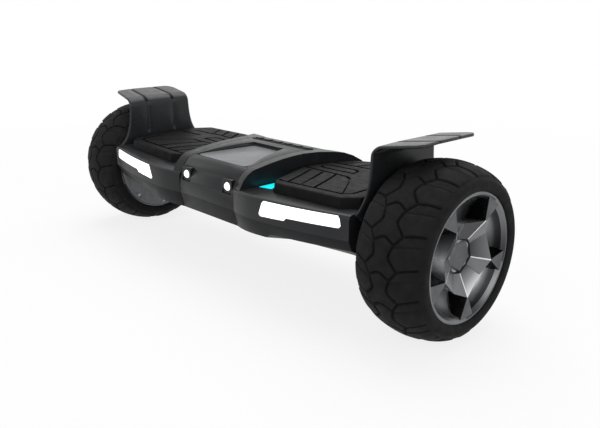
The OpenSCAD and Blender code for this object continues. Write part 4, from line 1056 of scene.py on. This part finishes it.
@dataclass
class Fender(Part):
    """A moulded guard: a wall that bends out into a swept lip, with two creases and its front folded down."""

    wall_x: float = 270.0
    thick: float = 4.0
    low: float = 128.0
    low_half: float = 54.0
    foot: float = 154.0
    bend_z: float = 218.0
    bend_r: float = 12.0
    lip_slope: float = 8.0
    lip_end: float = 335.5
    half: float = 58.0
    flare: float = 25.0
    flare_fall: float = 19.0
    sweep: float = 7.0
    taper: float = 2.0
    front_corner: float = 10.0
    back_corner: float = 20.0
    crease_y: float = 26.1
    crease_w: float = 4.6
    crease_h: float = 0.7
    crease_low: float = 169.5
    wall_crease: float = 1.7
    fold: float = 2.0
    lip_thin: float = 0.1
    edge_flat: float = 0.35
    foot_rows: int = 6
    wall_rows: int = 27
    bend_rows: int = 12
    lip_rows: int = 36

    def path(self) -> np.ndarray:
        """Follows the middle line up the wall, round the bend and out along the lip.

        Returns:
            Rows of x, z, the normal towards the pad, and the y of the front and back edges.
        """
        rows = []
        foot = np.linspace(self.low, self.foot, self.foot_rows)
        for z in np.concatenate([foot, np.linspace(self.foot, self.bend_z, self.wall_rows + 1)[1:]]):
            wide = self.half + self.flare * math.exp((self.foot - z) / self.flare_fall)
            if z < self.foot:
                grown = self.half + self.flare - self.low_half
                wide = self.low_half + grown * (z - self.low) / (self.foot - self.low)
            rows.append((self.wall_x + self.thick / 2, z, -1.0, 0.0, -wide, wide))
        mid, start = self.bend_r + self.thick / 2, rows[-1][5]
        for k in range(1, self.bend_rows + 1):
            a = math.radians(180 - (90 - self.lip_slope) * k / self.bend_rows)
            wide = start + (self.half - start) * k / self.bend_rows
            x = self.wall_x + self.thick + self.bend_r + mid * math.cos(a)
            rows.append((x, self.bend_z + mid * math.sin(a), math.cos(a), math.sin(a), -wide, wide))
        x0, z0, nx, nz = rows[-1][:4]
        reach, rise = self.lip_end - x0, math.tan(math.radians(self.lip_slope))
        for k in range(1, self.lip_rows + 1):
            far = 1 - (1 - k / self.lip_rows) ** 1.7
            left = reach * (1 - far)
            edges = []
            for s, corner in ((-1, self.front_corner), (1, self.back_corner)):
                wide = self.half - self.taper * far
                if left < corner:
                    wide -= corner - math.sqrt(max(corner**2 - (corner - left) ** 2, 0.0))
                edges.append(s * wide + self.sweep * far)
            rows.append((x0 + reach * far, z0 + reach * far * rise, nx, nz, *edges))
        return np.array(rows)

    def columns(self) -> np.ndarray:
        """Spaces the columns, close together at the creases and at the edges.

        Returns:
            Places across the fender, from -1 to 1.
        """
        marks = [0.0, 0.12, 0.25]
        for y in (self.crease_y - self.crease_w / 2, self.crease_y + self.crease_w / 2):
            marks += [(y + step) / self.half for step in (-0.9, -0.3, 0.3, 0.9)]
        marks += [0.7, 0.8, 0.88, 0.94, 0.97, 0.985, 0.995, 1.0]
        return np.array([-m for m in reversed(marks[1:])] + marks)

    def build(self) -> list[Object]:
        """Makes the fender in place of its CAD node.

        Returns:
            The fender.
        """
        path, across = self.path(), self.columns()[None]
        rows, wide = len(path), across.size
        limit = np.where(across < 0, -path[:, 4:5], path[:, 5:6])
        straight = np.minimum(self.half, limit)
        spare = np.maximum(np.abs(across) - 0.7, 0.0) / 0.3
        y = across * straight + np.sign(across) * spare**1.5 * (limit - straight)
        from_crease = np.abs(np.abs(across * self.half) - self.crease_y)
        crease = self.crease_h * (1 - smoothstep(self.crease_w / 2 - 0.8, self.crease_w / 2 + 0.8, from_crease))
        run = run_along(path[:, :2])
        start = run[np.searchsorted(path[: self.foot_rows + self.wall_rows, 1], self.crease_low)]
        out = smoothstep(0.2, 0.9, path[:, 3:4])
        stronger = self.wall_crease - (self.wall_crease - 1) * out
        depth = crease * smoothstep(start, start + 5.0, run)[:, None] * stronger
        droop = np.maximum(-across * self.half - self.crease_y, 0.0) * math.tan(math.radians(self.fold)) * out
        near = np.minimum((run[-1] - run)[:, None], (1 - np.abs(across)) * self.half)
        near = np.clip(near / (self.thick / 2), 0.0, 1.0)
        half = self.thick / 2 * np.sqrt(np.maximum(1 - (1 - near) ** 2, self.edge_flat**2))
        layers = []
        for grow in (half - depth - droop, self.lip_thin * out - half - droop):
            x = self.side.value * (path[:, 0:1] + path[:, 2:3] * grow)
            layers.append(np.stack([x, y, path[:, 1:2] + path[:, 3:4] * grow], -1).reshape(-1, 3))
        top, gap = skin(rows, wide, False, False), rows * wide
        points, faces = joined([(layer, top) for layer in layers])
        border = [*range(wide), *range(2 * wide - 1, gap, wide)]
        border += [*range(gap - 2, gap - wide - 1, -1), *range(gap - 2 * wide, 0, -wide)]
        faces += [(a, b, b + gap, a + gap) for a, b in zip(border, border[1:] + border[:1])]
        # Painted shade: on the lip, the faces inside the creases take the black pad rubber, for the shade that falls
        # in them.
        crease_shade = (depth * (out > 0.5)).reshape(-1)
        slots = [int(crease_shade[list(f)].max() > self.crease_h / 4) for f in top]
        slots += [0] * (len(faces) - len(slots))
        coats = [self.finish["fender"], self.finish["pad"]]
        fender = make_piece(self.side.named("wheel_guard"), (points, faces), coats, slots)
        return [settle(fender, (0.3, 50.0), self.side.named("half"), self.side.named("fender"))]


@dataclass
class Headlight(Part):
    """A domed lens in a square bezel."""

    x: float = 49.0
    y: float = -95.9
    z: float = 147.5
    radius: float = 5.95
    bulge: float = 4.5
    deep: float = 10.0
    middle: float = 0.001
    around: int = 48

    def build(self) -> list[Object]:
        """Makes the lens; both lenses stand for one CAD node.

        Returns:
            The lens.
        """
        dome = [(self.radius * math.cos(a), self.bulge * math.sin(a)) for a in np.linspace(0, math.pi / 2, 9)]
        profile = [(self.middle, -self.deep), (self.radius, -self.deep), *dome[:-1], (self.middle, self.bulge)]
        points, faces = revolve(profile, self.around)
        front = np.column_stack([points[:, 1], -points[:, 0], points[:, 2]])
        shell = front + (self.side.value * self.x, self.y, self.z), faces
        lens = make_piece(self.side.named("headlight_lens"), shell, [self.finish["white_light"]])
        return [settle(lens, (0.0, 40.0), "right_half", "headlight_lenses")]


@dataclass
class TopTrim:
    """What is let into the middle cover's top: six keys in a dark tray that also paints the shade round them, and a
    black band of painted shade round the panel.
    """

    finish: Palette
    crown_z: float = 181.5
    crown_y: float = 20.0
    fall: float = 8.0
    fall_run: float = 83.5
    key_y: float = 46.0
    key_gap: float = 22.4
    key_count: int = 6
    body: Pair = (12.8, 6.8)
    body_corner: float = 0.3
    tray: Pair = (130.0, 15.0)
    tray_corner: float = 4.5
    key: Pair = (14.6, 8.5)
    key_corner: float = 3.5
    key_back: float = 3.2
    key_z: float = 1.7
    proud: float = 0.5
    deep: float = 5.0
    play: float = 0.1
    panel_y: float = -72.0
    panel_z: float = 171.79
    panel_slope: float = 3.553
    panel_long: float = 92.0
    panel_front: float = 60.9
    panel_back: float = 33.9
    band_front: float = 1.8
    band_back: float = 5.0
    band_corner: float = 10.0
    band_edge: float = 0.8
    band_rise: float = 0.6
    band_sunk: float = 0.3

    def block(self, size: Pair, corner: float, heights: Pair, place: Pair) -> Shell:
        """A rounded block that stands on the crown.

        Args:
            size: Its width and depth.
            corner: Its corners' radius.
            heights: Its bottom and top over the crown.
            place: Its x, and how far it lies behind the tray's middle line.

        Returns:
            Its points and faces.
        """
        wide, long = size[0] / 2, size[1] / 2
        x, y = fillet([(-wide, -long), (wide, -long), (wide, long), (-wide, long)], corner, 6).T
        x, y = x + place[0], y + self.key_y + place[1]
        crown = self.crown_z - self.fall * ((y - self.crown_y) / self.fall_run) ** 2
        return stacked([np.column_stack([x, y, crown + height]) for height in heights])

    def shade_band(self) -> Shell:
        """A flat black band of painted shade on the panel's rim, where its recess falls in shade, widest at the back,
        with a rounded inner corner.

        Returns:
            Its points and faces.
        """
        front, back, far = self.panel_front, self.panel_back, self.panel_long - self.play
        outer = fillet([(-front, self.play), (front, self.play), (back, far), (-back, far)], 0.05, 8)
        front, back, far = front - self.band_front, back - self.band_back, far - self.band_back
        near = self.band_edge
        inner = fillet([(-front, near), (front, near), (back, far), (-back, far)], self.band_corner, 8)
        turn = math.radians(self.panel_slope)
        points = []
        for loop, top in ((outer, False), (outer, True), (inner, True), (inner, False)):
            x, v = loop.T
            w = self.play + self.band_rise * v / self.panel_long if top else np.full(len(v), -self.band_sunk)
            y = self.panel_y + v * math.cos(turn) - w * math.sin(turn)
            z = self.panel_z + v * math.sin(turn) + w * math.cos(turn)
            points.append(np.column_stack([x, y, z]))
        return np.concatenate(points), skin(4, len(outer), True, True)

    def build(self) -> list[Object]:
        """Makes the tray in place of a CAD node, the keys in it, and the band of painted shade.

        Returns:
            The tray, the keys and the shade band.
        """
        places = [self.key_gap * (k - (self.key_count - 1) / 2) for k in range(self.key_count)]
        bodies = [self.block(self.body, self.body_corner, (-self.deep, -self.play), (place, 0.0)) for place in places]
        bodies.append(self.block(self.tray, self.tray_corner, (-self.play, self.proud), (0.0, 0.0)))
        heights = (self.proud - self.play, self.key_z)
        caps = [self.block(self.key, self.key_corner, heights, (place, self.key_back)) for place in places]
        # The dark tray stands for the smoked indicator windows, and in front of and between the keys it paints their
        # shade.
        tray = make_piece("indicator_slots", joined(bodies), [self.finish["smoked"]])
        keys = make_piece("indicator_keys", joined(caps), [self.finish["shell"]])
        # Painted shade: a black band on the panel's rim where its recess wall falls in shade.
        shade_band = make_piece("painted_panel_shade", self.shade_band(), [self.finish["pad"]])
        return [
            settle(tray, (0.15, 40.0), "right_half", "indicator_lights"),
            settle(keys, (0.5, 40.0), "right_half"),
            settle(shade_band, (0.1, 40.0), "right_half"),
        ]


@dataclass
class Housing:
    """The shells, covers and workings that keep their CAD shape and get finishes and soft edges."""

    finish: Palette
    nodes: dict[str, Object]
    crease: float = 28.0

    def dress(self) -> int:
        """Gives every CAD node that stays its finish and rounded edges, with both sides' nodes alike.

        Returns:
            The number of nodes that were dressed.
        """
        table = {
            "shell": {"centre_cover": 1.6, "upper_shell": 0.7},
            "belly": {"centre_lower_cover": 0.6, "lower_shell": 0.6},
            "panel": {"top_panel": 0.5},
            "bezel": {"headlight_bezels": 0.5},
            "white_light": {"light_bar": 0.5},
            "cyan_light": {"accent_light": 0.4},
            "port": {"power_button": 0.5, "charge_socket": 0.3},
            "stop": {"charge_cap": 0.5, "pivot_cable": 0.0, "pad_stops": 0.3},
            "inner": {"pedal_plate": 0.4},
            "casting": {"frame": 0.5, "axle_clamp": 0.5},
            "steel": {"pivot_tube": 0.3, "stop_pin": 0.3, "axle": 0.4, "magnet_ring": 0.2, "bearings": 0.2},
            "screw": {"pivot_clip": 0.2, "screws": 0.3, "clamp_bolts": 0.4, "cover_screws": 0.3},
            "bronze": {"pivot_bushes": 0.3},
            "copper": {"stator": 0.2},
            "rim_grey": {"hub_cap": 0.5},
            "cover": {"motor_cover": 0.5},
            "board": {"main_board": 0.3, "sensor_board": 0.2},
            "wrap": {"battery_pack": 1.5},
        }
        wanted = [(part, finish, bevel) for finish, parts in table.items() for part, bevel in parts.items()]
        dressed = 0
        for part, finish, bevel in wanted:
            both = [side.named(part) for side in Side]
            for node in both if both[0] in self.nodes else [part]:
                shape = self.nodes[node]
                shape.data.materials.clear()
                shape.data.materials.append(self.finish[finish])
                soften(shape, bevel, self.crease, weld=True)
                dressed += 1
        return dressed


@dataclass
class Studio:
    """A white studio: a pale floor, soft overhead light and the photograph's camera."""

    eye: Triple = (752.98, -618.26, 380.19)
    azimuth: float = 46.973
    elevation: float = 17.356
    lens: float = 39.62
    sensor: float = 36.0
    clip: Pair = (0.01, 200.0)
    target: Triple = (0.0, 0.0, 0.12)
    even_light: float = 0.45
    floor_reach: float = 80.0
    floor_grey: float = 0.9
    shadow_near: float = 0.4
    shadow_far: float = 1.6
    shadow_lift: float = 0.82

    def camera(self) -> None:
        """Sets the camera where the photograph was taken."""
        data = bpy.data.cameras.new("camera")
        data.lens, data.sensor_width = self.lens, self.sensor
        data.clip_start, data.clip_end = self.clip
        camera = put("camera", data)
        camera.location = Vector(self.eye) * MM
        camera.rotation_euler = (math.radians(90 - self.elevation), 0.0, math.radians(self.azimuth))
        bpy.context.scene.camera = camera

    def lamp(self, name: str, place: Triple, size: float, power: float) -> None:
        """Adds a square soft light that faces the board's middle.

        Args:
            name: The light's name.
            place: Where it stands, in metres.
            size: Its side in metres.
            power: Its power in watts.
        """
        data = bpy.data.lights.new(name, "AREA")
        data.size, data.energy = size, power
        lamp = put(name, data)
        lamp.location = place
        aim = Vector(self.target) - lamp.location
        lamp.rotation_euler = aim.to_track_quat("-Z", "Y").to_euler()

    @staticmethod
    def shown(tree: NodeTree) -> NodeSocket:
        """Tells what the eye sees of the world or the floor from the light that they shed.

        Args:
            tree: The node tree of the world or the floor.

        Returns:
            An output of 1 for what is seen straight, in a mirror or through glass, and of 0 for the light.
        """
        path = add_node(tree, "ShaderNodeLightPath", {}, {})
        seen = path.outputs["Is Camera Ray"]
        for ray in ("Is Transmission Ray", "Is Glossy Ray"):
            either = {0: seen, 1: path.outputs[ray]}
            seen = add_node(tree, "ShaderNodeMath", {"operation": "MAXIMUM"}, either).outputs[0]
        return seen

    def world(self) -> None:
        """A white backdrop for the eye and for reflections, with a weaker even light on the board."""
        world = bpy.data.worlds.new("studio")
        world.use_nodes = True
        bpy.context.scene.world = world
        tree = world.node_tree
        tree.nodes.clear()
        soft = add_node(tree, "ShaderNodeBackground", {"Color": grey(1.0), "Strength": self.even_light}, {})
        white = add_node(tree, "ShaderNodeBackground", {"Color": grey(1.0), "Strength": 1.0}, {})
        links = {0: self.shown(tree), 1: soft.outputs[0], 2: white.outputs[0]}
        mix = add_node(tree, "ShaderNodeMixShader", {}, links)
        add_node(tree, "ShaderNodeOutputWorld", {}, {0: mix.outputs[0]})

    def floor(self) -> None:
        """A pale floor that keeps a soft shadow near the board and is as white as the backdrop further off."""
        mesh = bpy.data.meshes.new("floor")
        far = self.floor_reach
        mesh.from_pydata([(-far, -far, 0), (far, -far, 0), (far, far, 0), (-far, far, 0)], [], [(0, 1, 2, 3)])
        material, place = begin("floor_paper_white")
        tree = material.node_tree
        off = add_node(tree, "ShaderNodeVectorMath", {"operation": "LENGTH"}, {0: place})
        spans = {"From Min": self.shadow_near, "From Max": self.shadow_far, "To Min": self.shadow_lift, "To Max": 1.0}
        fade = add_node(tree, "ShaderNodeMapRange", spans, {"Value": off.outputs["Value"]})
        both = {0: self.shown(tree), 1: fade.outputs["Result"]}
        share = add_node(tree, "ShaderNodeMath", {"operation": "MULTIPLY"}, both)
        paper = add_node(tree, "ShaderNodeBsdfDiffuse", {"Color": grey(self.floor_grey)}, {})
        glow = add_node(tree, "ShaderNodeEmission", {"Color": grey(1.0), "Strength": 1.0}, {})
        links = {0: share.outputs[0], 1: paper.outputs[0], 2: glow.outputs[0]}
        mix = add_node(tree, "ShaderNodeMixShader", {}, links)
        add_node(tree, "ShaderNodeOutputMaterial", {}, {"Surface": mix.outputs[0]})
        mesh.materials.append(material)
        put("floor", mesh)

    def build(self) -> None:
        """Sets up the camera, light, floor and colour handling."""
        bpy.context.scene.view_settings.view_transform = "Standard"
        self.camera()
        self.world()
        self.floor()
        self.lamp("overhead", (-0.3, 0.5, 1.9), 1.8, 26.0)
        self.lamp("front_fill", (0.2, -1.9, 1.1), 1.4, 8.0)
        self.lamp("right_fill", (1.9, -0.2, 0.9), 1.2, 7.0)


def main() -> None:
    """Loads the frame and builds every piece."""
    logging.basicConfig(level=logging.INFO, format="%(name)s: %(message)s")
    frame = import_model()
    Studio().build()
    finish = {key: kind.material() for key, kind in FINISHES.items()}
    LOG.info("dressed %d CAD nodes", Housing(finish, frame["nodes"]).dress())
    parts: list[TopTrim | Part] = [TopTrim(finish)]
    for side in Side:
        parts += [kind(finish, side) for kind in (Tyre, FootPad, Fender, Headlight, Rim)]
    for part in parts:
        for piece in part.build():
            LOG.info("made %s", piece.name)


if __name__ == "__main__":
    main()
